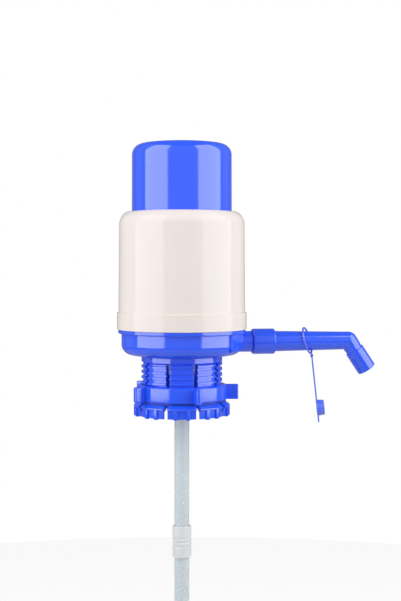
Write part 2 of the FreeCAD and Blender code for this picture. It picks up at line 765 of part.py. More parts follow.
def bellows_top_ring():
    """Ring that clamps the bellows' upper flange."""
    plain = ring(TOP_PLATE_R, BELLOWS_ROOT_R + FREE_GAP, TOP_RING_BOTTOM, TOP_FLANGE_BOTTOM)
    return plain.cut(top_screw_solids())


def bellows_top_plate():
    """Plate under the cap's bosses that closes the bellows above."""
    plate = rod(TOP_PLATE_R, TOP_PLATE_BOTTOM, TOP_PLATE_TOP)
    plate = join(plate, spring_rib(TOP_PLATE_BOTTOM - SPRING_RIB_H, TOP_PLATE_BOTTOM + BITE))
    return plate.cut(valve_holes(0.0, TOP_PLATE_BOTTOM, TOP_PLATE_TOP) + top_screw_solids())


def bellows():
    """Folded rubber sleeve with a flange at each end."""
    low = FOOT_FLANGE_TOP + BELLOWS_NECK
    high = TOP_FLANGE_BOTTOM - BELLOWS_NECK
    half_fold = (high - low) / BELLOWS_FOLDS / 2
    outer_folds = []
    inner_folds = []
    for i in range(2 * BELLOWS_FOLDS + 1):
        radius = BELLOWS_R if i % 2 else BELLOWS_ROOT_R
        outer_folds.append((radius, low + i * half_fold, BELLOWS_FOLD_ROUND))
        inner_folds.append((radius - BELLOWS_WALL, low + i * half_fold, BELLOWS_FOLD_ROUND))
    foot = [
        (BELLOWS_ROOT_R - BELLOWS_WALL, PLATE_TOP),
        (PLATE_R, PLATE_TOP),
        (PLATE_R, FOOT_FLANGE_TOP),
        (BELLOWS_ROOT_R, FOOT_FLANGE_TOP),
    ]
    head = [
        (BELLOWS_ROOT_R, TOP_FLANGE_BOTTOM),
        (TOP_PLATE_R, TOP_FLANGE_BOTTOM),
        (TOP_PLATE_R, TOP_PLATE_BOTTOM),
        (BELLOWS_ROOT_R - BELLOWS_WALL, TOP_PLATE_BOTTOM),
    ]
    sleeve = lathe(foot + outer_folds + head + inner_folds[::-1])
    return sleeve.cut(foot_screw_solids() + top_screw_solids())


def return_spring():
    """Compression spring between the two plates, inside the bellows."""
    low = PLATE_TOP + WIRE_R + FACE_GAP
    high = TOP_PLATE_BOTTOM - WIRE_R - FACE_GAP
    helix = Part.makeHelix((high - low) / SPRING_TURNS, high - low, SPRING_R)
    section = Part.Wire(Part.makeCircle(WIRE_R, Vector(SPRING_R, 0, 0), Vector(0, 1, 0)))
    coil = Part.Wire(helix.Edges).makePipeShell([section], True, True)
    coil.translate(Vector(0, 0, low))
    return coil


# Shell and cap


def outer_shell():
    """White body, with a wider band at its foot and ribs inside that stop the cap."""
    mouth_r = CAP_R + CAP_GAP
    band_top = BODY_Z + BAND_H
    bore_end = SPIGOT_TOP + BAND_CLEAR
    wall = lathe([
        (BAND_BORE_R, BODY_Z),
        (BAND_R, BODY_Z, EDGE_ROUND),
        (BAND_R, band_top, EDGE_ROUND),
        (SHELL_FOOT_R, band_top, FINE_ROUND),
        (SHELL_TOP_R, SHELL_TOP, SHELL_SHOULDER_R),
        (mouth_r, SHELL_TOP, SHELL_MOUTH_ROUND),
        (mouth_r, SHELL_TOP - SHELL_WALL, SHELL_MOUTH_ROUND),
        (SHELL_BORE_R, SHELL_TOP - SHELL_WALL, SHELL_SHOULDER_R - SHELL_WALL),
        (SHELL_BORE_R, bore_end + BAND_CONE_H),
        (BAND_BORE_R, bore_end),
        (BAND_BORE_R, SNAP_Z + SNAP_W),
        (BAND_BORE_R + SNAP_H, SNAP_Z),
        (BAND_BORE_R, SNAP_Z - SNAP_W),
    ])
    rib_top = CAP_FLANGE_BOTTOM - STROKE - FACE_GAP
    rib_bottom = bore_end + BAND_CONE_H
    inner = SHELL_BORE_R - STOP_RIB_IN
    rib = Part.makeBox(STOP_RIB_IN + BITE, STOP_RIB_W, rib_top - rib_bottom)
    rib.translate(Vector(inner, -STOP_RIB_W / 2, rib_bottom))
    return join(wall, *around(rib, STOP_RIB_COUNT))


def press_cap():
    """Domed push button with a flange inside the shell and bosses for the top ring's screws."""
    flange_r = SHELL_BORE_R - CAP_SLIDE_GAP
    land_r = CAP_R + CAP_GAP + CAP_FLANGE_LAND
    body = lathe([
        (0, CAP_FLANGE_BOTTOM),
        (flange_r, CAP_FLANGE_BOTTOM, EDGE_ROUND),
        (flange_r, CAP_FLANGE_BOTTOM + CAP_FLANGE_EDGE_H, EDGE_ROUND),
        (land_r, CAP_FLANGE_TOP, EDGE_ROUND),
        (CAP_R, CAP_FLANGE_TOP),
        (CAP_R - CAP_DRAFT, CAP_TOP),
        (0, CAP_TOP),
    ])
    dome_r = (CAP_R ** 2 + CAP_CROWN ** 2) / (2 * CAP_CROWN)
    body = body.common(Part.makeSphere(dome_r, Vector(0, 0, CAP_TOP - dome_r)))
    boxes = [(edge, edge.BoundBox) for edge in body.Edges]
    low = CAP_TOP - 2 * CAP_CROWN
    rim = [edge for edge, box in boxes if box.ZMin > low and box.XLength > CAP_R]
    body = body.makeFillet(CAP_EDGE_R, rim)
    hollow = lathe([
        (0, CAP_FLANGE_BOTTOM - OVERRUN),
        (CAP_BORE_R, CAP_FLANGE_BOTTOM - OVERRUN),
        (CAP_BORE_R, CAP_CEILING, CAP_EDGE_R - CAP_WALL),
        (0, CAP_CEILING),
    ])
    cap = body.cut(hollow)
    places = circle_place(TOP_SCREW_COUNT, TOP_SCREW_PCD_R, TOP_SCREW_FIRST)
    roof = CAP_CEILING + BITE
    bosses = [rod(SCREW_BOSS_R, TOP_PLATE_TOP, roof, x, y).common(body) for x, y in places]
    return cap.fuse(bosses).removeSplitter().cut(top_screw_solids())


# Spout


def along_spout(shape):
    """Places a shape made along Z so that it runs along the spout's lower leg from the bend."""
    turn = Rotation(Vector(0, 1, 0), 90 + SPOUT_DROP_ANGLE)
    copy = shape.copy()
    copy.Placement = Placement(Vector(SPOUT_BEND_X, 0, DUCT_Z), turn)
    return copy


def spout_o_ring():
    """O-ring squeezed flat in the port's groove."""
    half = RING_GROOVE_W / 2 - RING_SIDE_PLAY
    inner = SPIGOT_OUT_R - RING_GROOVE_DEPTH
    outer = SPIGOT_OUT_R + RUN_FIT / 2
    seal = lathe([
        (inner, -half, EDGE_ROUND),
        (outer, -half, EDGE_ROUND),
        (outer, half, EDGE_ROUND),
        (inner, half, EDGE_ROUND),
    ])
    seal.rotate(ORIGIN, Vector(0, 1, 0), 90)
    seal.translate(Vector(PORT_END + RING_GROOVE_AT, 0, DUCT_Z))
    return seal


def spout_coupling():
    """Sleeve that snaps on the port, turns on it and holds the spout's root."""
    snap_at = SNAP_GROOVE_AT - COUPLING_GAP
    root_at = SPOUT_ROOT_X - COUPLING_X
    bore = COUPLING_BORE_R
    bead = COUPLING_BORE_R - SNAP_GROOVE_DEPTH
    half = SNAP_GROOVE_W / 2 - SNAP_BEAD_PLAY
    sleeve = lathe([
        (bore, 0),
        (COUPLING_R, 0, COUPLING_ROUND),
        (COUPLING_R, COUPLING_L, COUPLING_ROUND),
        (SPOUT_ROOT_R, COUPLING_L),
        (SPOUT_ROOT_R, root_at),
        (bore, root_at),
        (bore, snap_at + half + SNAP_BEAD_RAMP),
        (bead, snap_at + half),
        (bead, snap_at - half),
        (bore, snap_at - half - SNAP_BEAD_RAMP),
    ])
    sleeve.rotate(ORIGIN, Vector(0, 1, 0), 90)
    sleeve.translate(Vector(COUPLING_X, 0, DUCT_Z))
    return sleeve


def spout():
    """Tapered tube with a short bend down to the nozzle."""
    level = Vector(1, 0, 0)
    root = tube_x(SPOUT_ROOT_R, 0.0, SPOUT_ROOT_X, COUPLING_END, DUCT_Z)
    taper = Part.makeCone(
        SPOUT_ROOT_R, SPOUT_BEND_R, SPOUT_LENGTH, Vector(COUPLING_END, 0, DUCT_Z), level
    )
    elbow = Part.makeSphere(SPOUT_BEND_R, Vector(SPOUT_BEND_X, 0, DUCT_Z))
    leg = along_spout(Part.makeCone(SPOUT_BEND_R, SPOUT_TIP_R, SPOUT_TIP_AT))
    tip = along_spout(rod(SPOUT_TIP_R, SPOUT_TIP_AT, SPOUT_TIP_AT + SPOUT_TIP_L))
    outside = root.fuse([taper, elbow, leg, tip])
    water = [
        tube_x(SPOUT_WATER_R, 0.0, SPOUT_ROOT_X - OVERRUN, SPOUT_BEND_X, DUCT_Z),
        Part.makeSphere(SPOUT_WATER_R, Vector(SPOUT_BEND_X, 0, DUCT_Z)),
        along_spout(rod(SPOUT_WATER_R, 0, SPOUT_TIP_AT + SPOUT_TIP_L + OVERRUN)),
    ]
    return outside.cut(water).removeSplitter()


def nozzle_sleeve():
    """Sleeve pushed over the spout's end, with a wider mouth beyond it."""
    socket_end = SPOUT_TIP_AT + SPOUT_TIP_L
    end = SPOUT_TIP_AT + NOZZLE_L
    sleeve = lathe([
        (SPOUT_TIP_R, SPOUT_TIP_AT),
        (NOZZLE_R, SPOUT_TIP_AT, EDGE_ROUND),
        (NOZZLE_R, end, NOZZLE_ROUND),
        (NOZZLE_BORE_R, end),
        (NOZZLE_BORE_R, socket_end),
        (SPOUT_TIP_R, socket_end),
    ])
    return along_spout(sleeve)


# Stopper


def spout_r(x):
    """Radius of the spout's level tube at x."""
    share = (x - COUPLING_END) / SPOUT_LENGTH
    return SPOUT_ROOT_R + (SPOUT_BEND_R - SPOUT_ROOT_R) * share


def eye_centre():
    """Centre of the pin at the foot of the loop."""
    tilt = math.radians(LOOP_TILT)
    reach = LOOP_HALF_H + LOOP_T + EYE_BRIDGE
    return Vector(LOOP_X + reach * math.sin(tilt), 0, LOOP_Z - reach * math.cos(tilt))


def place_on_loop(shape):
    """Turns and tilts a shape made upright about the origin and moves it to the loop's middle."""
    copy = turned(shape, -LOOP_YAW)
    copy.rotate(ORIGIN, Vector(0, 1, 0), -LOOP_TILT)
    copy.translate(Vector(LOOP_X, 0, LOOP_Z))
    return copy


def place_on_pin(shape):
    """Turns a shape made about the origin and moves it to the pin's centre."""
    copy = turned(shape, -STRAP_YAW)
    copy.translate(eye_centre())
    return copy


def strap_loop():
    """Oval loop round the spout, with the stopper's pin at its foot."""
    yaw = math.radians(LOOP_YAW)
    clear = spout_r(LOOP_X) + LOOP_GRIP + LOOP_W / 2 * math.sin(yaw)
    half_w = clear / math.cos(yaw)
    outer = Part.Ellipse(ORIGIN, LOOP_HALF_H + LOOP_T, half_w + LOOP_T).toShape()
    inner = Part.Ellipse(ORIGIN, LOOP_HALF_H, half_w).toShape()
    disc = Part.Face(Part.Wire(outer)).extrude(Vector(0, 0, LOOP_W))
    loop = disc.cut(Part.Face(Part.Wire(inner)).extrude(Vector(0, 0, LOOP_W)))
    loop.translate(Vector(0, 0, -LOOP_W / 2))
    # the ellipse's long axis lies along X, so it is stood up across the spout
    loop.rotate(ORIGIN, Vector(0, 1, 0), -90)
    pin = Part.makeCylinder(EYE_PIN_R, STRAP_W, Vector(0, -STRAP_W / 2, 0), Vector(0, 1, 0))
    stalk = Part.makeBox(LOOP_T, LOOP_W, EYE_BRIDGE + LOOP_T / 2)
    stalk.translate(Vector(-LOOP_T / 2, -LOOP_W / 2, -LOOP_HALF_H - LOOP_T - EYE_BRIDGE))
    return join(place_on_loop(loop), place_on_pin(pin), place_on_loop(stalk))


def stopper():
    """Strap with an eye at its top, the plug near its foot and a pull tab below."""
    across = Vector(0, 1, 0)
    outwards = Vector(1, 0, 0)
    half_w = STRAP_W / 2
    half_t = STRAP_T / 2
    length = STRAP_L + PULL_TAB_L
    eye = Part.makeCylinder(EYE_R, STRAP_W, Vector(0, -half_w, 0), across)
    face = outline(
        [(-half_w, 0), (-half_w, -length, half_w), (half_w, -length, half_w), (half_w, 0)],
        lambda p: Vector(-half_t, p.x, p.y),
    )
    strap = face.extrude(outwards * STRAP_T)
    flange = Part.makeCylinder(PLUG_FLANGE_R, STRAP_T, Vector(-half_t, 0, -STRAP_L), outwards)
    plug = Part.makeCone(PLUG_ROOT_R, PLUG_TIP_R, PLUG_H, Vector(half_t, 0, -STRAP_L), outwards)
    piece = join(eye, strap, flange, plug)
    cup_foot = Vector(half_t + PLUG_WALL, 0, -STRAP_L)
    cup = Part.makeCone(PLUG_ROOT_R - PLUG_WALL, PLUG_TIP_R - PLUG_WALL, PLUG_H, cup_foot, outwards)
    bore_foot = Vector(0, -half_w - OVERRUN, 0)
    bore = Part.makeCylinder(EYE_BORE_R, STRAP_W + 2 * OVERRUN, bore_foot, across)
    cheek_gap = LOOP_W + 2 * FREE_GAP
    mouth = Part.makeBox(2 * EYE_R, cheek_gap, 2 * EYE_R)
    mouth.translate(Vector(-EYE_R, -cheek_gap / 2, -EYE_BORE_R))
    piece = piece.cut([cup, bore, mouth])
    piece.rotate(ORIGIN, across, -STRAP_LEAN)
    return place_on_pin(piece)


# Dip tube


def dip_ends():
    """Upper and lower end of each length of the dip tube."""
    ends = []
    top = SOCKET_TOP
    for _ in range(DIP_SECTIONS):
        bottom = top - DIP_SECTION_L
        ends.append((top, bottom))
        top = bottom - JOINER_STOP_T
    return ends


def dip_tube(index):
    """One length of the dip tube."""
    top, bottom = dip_ends()[index]
    return ring(DIP_R, DIP_BORE_R, bottom, top)


def tube_joiner(index):
    """Sleeve over two tube ends, with a stop between them."""
    stop_top = dip_ends()[index][1]
    stop_bottom = stop_top - JOINER_STOP_T
    middle = (stop_top + stop_bottom) / 2
    outer = DIP_SOCKET_R + JOINER_WALL
    return lathe([
        (DIP_SOCKET_R, middle - JOINER_L / 2),
        (outer, middle - JOINER_L / 2, EDGE_ROUND),
        (outer, middle + JOINER_L / 2, EDGE_ROUND),
        (DIP_SOCKET_R, middle + JOINER_L / 2),
        (DIP_SOCKET_R, stop_top),
        (DIP_BORE_R, stop_top),
        (DIP_BORE_R, stop_bottom),
        (DIP_SOCKET_R, stop_bottom),
    ])


def tube_foot():
    """Notched sleeve on the tube's lower end, which lets water in at the bottle's floor."""
    stop = dip_ends()[-1][1]
    top = stop + TUBE_FOOT_GRIP
    bottom = top - TUBE_FOOT_L
    outer = DIP_SOCKET_R + JOINER_WALL
    foot = lathe([
        (DIP_BORE_R, bottom),
        (outer, bottom, EDGE_ROUND),
        (outer, top, EDGE_ROUND),
        (DIP_SOCKET_R, top),
        (DIP_SOCKET_R, stop),
        (DIP_BORE_R, stop),
    ])
    notches = []
    for turn in (0, 90):
        reach = outer + OVERRUN
        notch = Part.makeBox(2 * reach, TUBE_FOOT_NOTCH_W, TUBE_FOOT_NOTCH_H + OVERRUN)
        notch.translate(Vector(-reach, -TUBE_FOOT_NOTCH_W / 2, bottom - OVERRUN))
        notches.append(turned(notch, turn))
    return foot.cut(notches)


def compound(solids):
    """Group of separate solids in one node."""
    return Part.makeCompound(solids)


NODES = {
    "press_cap": press_cap,
    "outer_shell": outer_shell,
    "base_bowl": base_bowl,
    "neck_collet": neck_collet,
    "neck_gasket": neck_gasket,
    "collet_screws": lambda: compound(collet_screw_solids()),
    "clamp_nut": clamp_nut,
    "slip_ring": slip_ring,
    "valve_plate": valve_plate,
    "outlet_valve": lambda: check_valve(OUTLET_VALVE_X, LEDGE_Z, PLATE_TOP),
    "bellows": bellows,
    "bellows_foot_ring": bellows_foot_ring,
    "foot_ring_screws": lambda: compound(foot_screw_solids()),
    "return_spring": return_spring,
    "bellows_top_plate": bellows_top_plate,
    "inlet_valve": lambda: check_valve(0.0, TOP_PLATE_BOTTOM, TOP_PLATE_TOP),
    "bellows_top_ring": bellows_top_ring,
    "top_ring_screws": lambda: compound(top_screw_solids()),
    "spout_o_ring": spout_o_ring,
    "spout_coupling": spout_coupling,
    "spout": spout,
    "nozzle_sleeve": nozzle_sleeve,
    "strap_loop": strap_loop,
    "stopper": stopper,
    "dip_tube_upper": lambda: dip_tube(0),
    "tube_joiner_upper": lambda: tube_joiner(0),
    "dip_tube_middle": lambda: dip_tube(1),
    "tube_joiner_lower": lambda: tube_joiner(1),
    "dip_tube_lower": lambda: dip_tube(2),
    "tube_foot": tube_foot,
}


def main():
    """Write every node's STEP file."""
    os.makedirs("parts", exist_ok=True)
    for name, make in NODES.items():
        shape = make()
        solids = shape.Solids
        state = "valid" if shape.isValid() else "NOT VALID"
        print(f"{name}: {len(solids)} solids, {shape.Volume:.1f} mm3, {state}")
        shape.exportStep(f"parts/{name}.step")


main()
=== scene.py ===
"""Looks of a press-top hand pump for a large water bottle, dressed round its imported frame.

Sizes are in millimetres and turned to metres where a mesh is made. +Z is up, the pump's axis
is the Z axis, the origin lies in the plane of the bottle's mouth, and the spout leaves along +X.
"""

import logging
import math
from abc import ABC, abstractmethod
from dataclasses import dataclass, field
from enum import Enum
from typing import Any, Callable, ClassVar, Sequence

import bmesh
import bpy
from mathutils import Matrix, Vector


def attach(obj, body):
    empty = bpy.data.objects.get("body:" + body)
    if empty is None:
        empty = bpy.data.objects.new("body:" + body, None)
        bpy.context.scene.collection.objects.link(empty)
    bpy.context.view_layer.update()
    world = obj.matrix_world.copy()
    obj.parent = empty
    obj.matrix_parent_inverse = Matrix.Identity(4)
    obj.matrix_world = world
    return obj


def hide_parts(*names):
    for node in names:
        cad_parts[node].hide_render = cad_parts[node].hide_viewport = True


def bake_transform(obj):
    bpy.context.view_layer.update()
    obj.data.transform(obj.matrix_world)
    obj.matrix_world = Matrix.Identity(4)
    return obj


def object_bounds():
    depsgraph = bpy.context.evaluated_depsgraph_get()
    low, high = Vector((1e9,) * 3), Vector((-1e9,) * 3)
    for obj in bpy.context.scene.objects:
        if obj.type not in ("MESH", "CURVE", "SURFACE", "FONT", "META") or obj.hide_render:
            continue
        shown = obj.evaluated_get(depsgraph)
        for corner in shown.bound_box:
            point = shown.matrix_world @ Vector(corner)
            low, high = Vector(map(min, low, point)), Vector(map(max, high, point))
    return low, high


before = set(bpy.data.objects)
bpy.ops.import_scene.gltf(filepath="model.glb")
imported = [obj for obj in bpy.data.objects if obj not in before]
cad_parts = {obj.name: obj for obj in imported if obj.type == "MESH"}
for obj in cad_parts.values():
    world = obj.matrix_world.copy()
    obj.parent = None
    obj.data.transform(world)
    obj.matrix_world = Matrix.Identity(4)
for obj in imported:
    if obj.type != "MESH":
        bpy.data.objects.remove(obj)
CAD_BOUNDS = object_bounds()

LOG = logging.getLogger("hand_pump")
Piece = bpy.types.Object
Place = Sequence[float]  # X, Y and Z, in millimetres
Outline = list[tuple[float, ...]]  # radius, height and any rounding of each corner, in millimetres
Pair = tuple[float, float]
Trio = tuple[float, float, float]
Quad = tuple[float, float, float, float]
MM = 0.001

# Roundings of moulded edges, in millimetres
EDGE_BREAK = 0.12
THIN_ROUND = 0.15
CUT_ROUND = 0.2
FINE_ROUND = 0.3
EDGE_ROUND = 0.5
SOFT_ROUND = 0.6

UPRIGHT = (math.radians(90), 0, 0)  # turn of a flat mesh that stands in the XZ plane
ACROSS = (0, math.radians(90), 0)  # turn of a flat mesh that stands across the X axis

# Fineness of the meshes
TURN_SIDES = 144
PIPE_SIDES = 72
ROD_SIDES = 40
WIRE_SIDES = 16
THREAD_STEPS = 72
BEND_STEPS = 12
ARC_STEPS = (2, 10)  # fewest and most facets of a rounding
ARC_SHARE = (1.5, 1.2)  # facets of a rounding, and facets more for each millimetre of its radius
SMOOTH_ANGLE = 35.0  # degrees up to which an edge is shaded smooth
ROUND_SHARE = 0.49  # share of a side that one corner's rounding may take
CLOSE = 0.02  # millimetres within which a point counts as being on a ring
MERGE = 0.005  # millimetres within which two points are one
SAME_WAY = 0.01  # cosine below which a face runs along a way
SLOT_CLEAR = 1.8  # degrees that keep a turned piece's points off the cuts through it
OVERRUN = 1.0  # millimetres that a cutting tool reaches past what it cuts
SHARP = 50.0  # least degrees of an edge that is broken

MIX_A, MIX_B, MIX_RESULT = 6, 7, 2  # colour sockets of a mix node
SCATTER = (0.002, 0.002, 0.003)  # metres that red, green and blue light scatter in the plastic


# Materials


def linear(code: str) -> Quad:
    """Turn an sRGB hex colour into the linear colour that shaders use.

    Args:
        code: Colour such as "#2155f3".

    Returns:
        Red, green, blue and an alpha of one.
    """
    parts = [int(code[i:i + 2], 16) / 255 for i in (1, 3, 5)]
    red, green, blue = (p / 12.92 if p <= 0.04045 else ((p + 0.055) / 1.055) ** 2.4 for p in parts)
    return red, green, blue, 1.0


def add_node(
    tree: bpy.types.NodeTree,
    kind: str,
    settings: dict[str, Any] | None = None,
    inputs: dict[str | int, Any] | None = None,
) -> bpy.types.Node:
    """Add a node with its settings, input values and links.

    Args:
        tree: Tree that the node goes into.
        kind: Blender's name for the node's type.
        settings: Properties of the node itself.
        inputs: Values of its sockets by name or number, or output sockets to link to them.

    Returns:
        The new node.
    """
    node = tree.nodes.new(kind)
    for key, value in (settings or {}).items():
        setattr(node, key, value)
    for key, value in (inputs or {}).items():
        if isinstance(value, bpy.types.NodeSocket):
            tree.links.new(value, node.inputs[key])
        else:
            node.inputs[key].default_value = value
    return node


@dataclass(frozen=True)
class Finish:
    """Surface of one real material."""

    name: str  # Name of the material
    slot: str  # The record's slot that it fills
    colour: str  # sRGB hex colour
    shade: str  # sRGB hex colour of the slightly deeper patches
    ior: float  # Index of refraction, which a bare metal leaves at the shader's own value
    roughness: Pair  # Least and greatest roughness over the surface
    grain_mm: float  # Width of the fine grain that the mould leaves
    grain_depth_mm: float  # Height of that grain
    wave_mm: float  # Width of the slow waves left by shrinkage
    wave_depth_mm: float  # Height of those waves
    metallic: float = 0.0  # One for a bare metal
    translucence: float = 0.0  # Share of the light that passes through
    subsurface: float = 0.0  # Share of the light that scatters inside
    shine: float = 0.5  # Strength of the reflection, 0.5 for what the index of refraction gives

    def noise(
        self, tree: bpy.types.NodeTree, place: bpy.types.NodeSocket, width_mm: float
    ) -> bpy.types.Node:
        """Add a noise whose patches are about width_mm wide.

        Args:
            tree: Tree that the node goes into.
            place: Object coordinates, in metres.
            width_mm: Width of one patch.

        Returns:
            The noise node.
        """
        return add_node(
            tree, "ShaderNodeTexNoise", {"noise_dimensions": "3D"},
            {"Vector": place, "Scale": 1 / (width_mm * MM), "Detail": 2.0, "Roughness": 0.5},
        )

    def material(self) -> bpy.types.Material:
        """Build the material, or return it where it has been built already.

        Returns:
            The material.
        """
        known = bpy.data.materials.get(self.name)
        if known is not None:
            return known
        made = bpy.data.materials.new(self.name)
        made.use_nodes = True
        tree = made.node_tree
        tree.nodes.clear()
        place = add_node(tree, "ShaderNodeTexCoord").outputs["Object"]
        slow = self.noise(tree, place, self.wave_mm)
        fine = self.noise(tree, place, self.grain_mm)
        colour = add_node(
            tree, "ShaderNodeMix", {"data_type": "RGBA"},
            {"Factor": slow.outputs["Fac"], MIX_A: linear(self.colour), MIX_B: linear(self.shade)},
        )
        rough = add_node(
            tree, "ShaderNodeMapRange", None,
            {"Value": fine.outputs["Fac"], "To Min": self.roughness[0], "To Max": self.roughness[1]},
        )
        waves = add_node(
            tree, "ShaderNodeBump", None,
            {"Height": slow.outputs["Fac"], "Distance": self.wave_depth_mm * MM, "Strength": 1.0},
        )
        bump = add_node(
            tree, "ShaderNodeBump", None,
            {
                "Height": fine.outputs["Fac"], "Distance": self.grain_depth_mm * MM, "Strength": 1.0,
                "Normal": waves.outputs["Normal"],
            },
        )
        shader = add_node(
            tree, "ShaderNodeBsdfPrincipled", None,
            {
                "Base Color": colour.outputs[MIX_RESULT], "Roughness": rough.outputs["Result"],
                "Normal": bump.outputs["Normal"], "Metallic": self.metallic,
                "Transmission Weight": self.translucence, "Subsurface Weight": self.subsurface,
                "Specular IOR Level": self.shine,
                "Subsurface Radius": SCATTER, "Subsurface Scale": 1.0,
            },
        )
        if self.metallic == 0.0:
            shader.inputs["IOR"].default_value = self.ior
        add_node(tree, "ShaderNodeOutputMaterial", None, {"Surface": shader.outputs["BSDF"]})
        return made


class Finishes(Enum):
    """Finishes of the pump's pieces."""

    # Polypropylene, injection moulded in a polished mould: clear gloss with a hint of orange peel
    BLUE_GLOSS = Finish(
        "polypropylene_blue_polished", "blue_plastic", colour="#2659f6", shade="#2354f0",
        ior=1.49, roughness=(0.10, 0.14), grain_mm=1.6, grain_depth_mm=0.001,
        wave_mm=24.0, wave_depth_mm=0.02, shine=1.0,
    )
    # ABS, injection moulded: a warm white with a softer gloss
    WHITE_SATIN = Finish(
        "abs_warm_white_moulded", "white_plastic", colour="#e3dbd7", shade="#e0d7d2",
        ior=1.54, roughness=(0.05, 0.08), grain_mm=1.2, grain_depth_mm=0.003,
        wave_mm=30.0, wave_depth_mm=0.02, shine=0.22,
    )
    # Low-density polyethylene: softer and duller than the body, so that the strap can bend
    BLUE_SOFT = Finish(
        "polyethylene_blue_soft", "soft_blue_plastic", colour="#5f7bf6", shade="#5873ee",
        ior=1.51, roughness=(0.14, 0.22), grain_mm=1.0, grain_depth_mm=0.001,
        wave_mm=12.0, wave_depth_mm=0.01, subsurface=0.2, shine=0.9,
    )
    # Acetal, a slippery blue plastic, for the ring that the nut turns on; its deep blue is painted shade
    # for the shadowed gap under the nut
    SLIP = Finish(
        "acetal_blue_painted_shade", "slip_plastic", colour="#1238a8", shade="#10339b",
        ior=1.48, roughness=(0.24, 0.32), grain_mm=0.8, grain_depth_mm=0.002,
        wave_mm=10.0, wave_depth_mm=0.01,
    )
    # Polypropylene left uncoloured, as on pieces that nobody sees
    INNER = Finish(
        "polypropylene_natural_moulded", "inner_plastic", colour="#d9dcde", shade="#d1d5d8",
        ior=1.49, roughness=(0.30, 0.40), grain_mm=1.0, grain_depth_mm=0.004,
        wave_mm=20.0, wave_depth_mm=0.02,
    )
    # Polyethylene tube, extruded: milky, and light shows through its wall
    TUBE = Finish(
        "polyethylene_tube_milky", "tube_plastic", colour="#e9f0f4", shade="#e2ebf0",
        ior=1.51, roughness=(0.22, 0.30), grain_mm=0.9, grain_depth_mm=0.002,
        wave_mm=14.0, wave_depth_mm=0.01, translucence=0.45,
    )
    # Moulded rubber: near black and dull
    RUBBER = Finish(
        "rubber_moulded_dark", "rubber", colour="#2b2c2f", shade="#232427",
        ior=1.52, roughness=(0.50, 0.62), grain_mm=0.7, grain_depth_mm=0.006,
        wave_mm=9.0, wave_depth_mm=0.02,
    )
    # Zinc-plated steel of the screws
    STEEL = Finish(
        "steel_zinc_plated", "steel", colour="#b9bcc0", shade="#aeb2b7",
        ior=1.50, roughness=(0.24, 0.34), grain_mm=0.3, grain_depth_mm=0.002,
        wave_mm=3.0, wave_depth_mm=0.004, metallic=1.0,
    )


NODES_BY_FINISH = {
    Finishes.BLUE_GLOSS: (
        "press_cap", "base_bowl", "neck_collet", "clamp_nut", "spout_coupling", "spout", "nozzle_sleeve",
    ),
    Finishes.WHITE_SATIN: ("outer_shell",),
    Finishes.BLUE_SOFT: ("strap_loop", "stopper"),
    Finishes.SLIP: ("slip_ring",),
    Finishes.INNER: (
        "valve_plate", "bellows_foot_ring", "bellows_top_plate", "bellows_top_ring",
        "tube_joiner_upper", "tube_joiner_lower", "tube_foot",
    ),
    Finishes.TUBE: ("dip_tube_upper", "dip_tube_middle", "dip_tube_lower"),
    Finishes.RUBBER: ("neck_gasket", "outlet_valve", "bellows", "inlet_valve", "spout_o_ring"),
    Finishes.STEEL: ("collet_screws", "foot_ring_screws", "return_spring", "top_ring_screws"),
}
NODE_FINISHES = {node: finish for finish, nodes in NODES_BY_FINISH.items() for node in nodes}


# Modelling


@dataclass(frozen=True)
class Corner:
    """Corner of a turned outline."""

    radius: float  # Distance from the axis, in millimetres
    height: float  # Height on the axis, in millimetres
    round: float = 0.0  # Radius of the rounding at the corner, in millimetres


class Pick(Enum):
    """What a selection is made of."""

    POINTS = "VERT"
    EDGES = "EDGE"
    FACES = "FACE"


def use_only(piece: Piece) -> None:
    """Select one piece and nothing else, in object mode.

    Args:
        piece: Piece that is selected and made active.
    """
    if bpy.context.object is not None and bpy.context.object.mode != "OBJECT":
        bpy.ops.object.mode_set(mode="OBJECT")
    bpy.ops.object.select_all(action="DESELECT")
    piece.select_set(True)
    bpy.context.view_layer.objects.active = piece


def add(name: str, maker: Callable[..., Any], **settings: Any) -> Piece:
    """Add one of Blender's basic meshes, with its place kept in its mesh.

    Args:
        name: Name of the piece.
        maker: Blender's operator for the mesh.
        **settings: What the operator is given.

    Returns:
        The new piece.
    """
    bpy.ops.object.select_all(action="DESELECT")
    maker(**settings)
    piece = bpy.context.object
    piece.name = name
    bpy.ops.object.transform_apply()
    return piece


def modify(piece: Piece, kind: str, **settings: Any) -> Piece:
    """Add a modifier to a piece and apply it.

    Args:
        piece: Piece in object mode.
        kind: Blender's name for the kind of modifier.
        **settings: Properties of the modifier.

    Returns:
        The same piece.
    """
    use_only(piece)
    modifier = piece.modifiers.new(kind.lower(), kind)
    for key, value in settings.items():
        setattr(modifier, key, value)
    bpy.ops.object.modifier_apply(modifier=modifier.name)
    return piece


def begin(piece: Piece, action: str = "DESELECT") -> None:
    """Open a piece in edit mode.

    Args:
        piece: Piece that is opened.
        action: "SELECT" to select all of its points, or "DESELECT" for none.
    """
    use_only(piece)
    bpy.ops.object.mode_set(mode="EDIT")
    bpy.ops.mesh.select_mode(type=Pick.POINTS.value)
    bpy.ops.mesh.select_all(action=action)


def end() -> None:
    """Close edit mode."""
    bpy.ops.object.mode_set(mode="OBJECT")


def pick(piece: Piece, kind: Pick, test: Callable[[Any], bool]) -> None:
    """Select the parts of the open mesh that pass a test.

    Args:
        piece: Piece that is open in edit mode.
        kind: What is selected.
        test: Takes a vertex, edge or face and says whether it is wanted.
    """
    bpy.ops.mesh.select_mode(type=kind.value)
    bpy.ops.mesh.select_all(action="DESELECT")
    mesh = bmesh.from_edit_mesh(piece.data)
    groups = {Pick.POINTS: mesh.verts, Pick.EDGES: mesh.edges, Pick.FACES: mesh.faces}
    for item in groups[kind]:
        if test(item):
            item.select_set(True)
    bmesh.update_edit_mesh(piece.data)


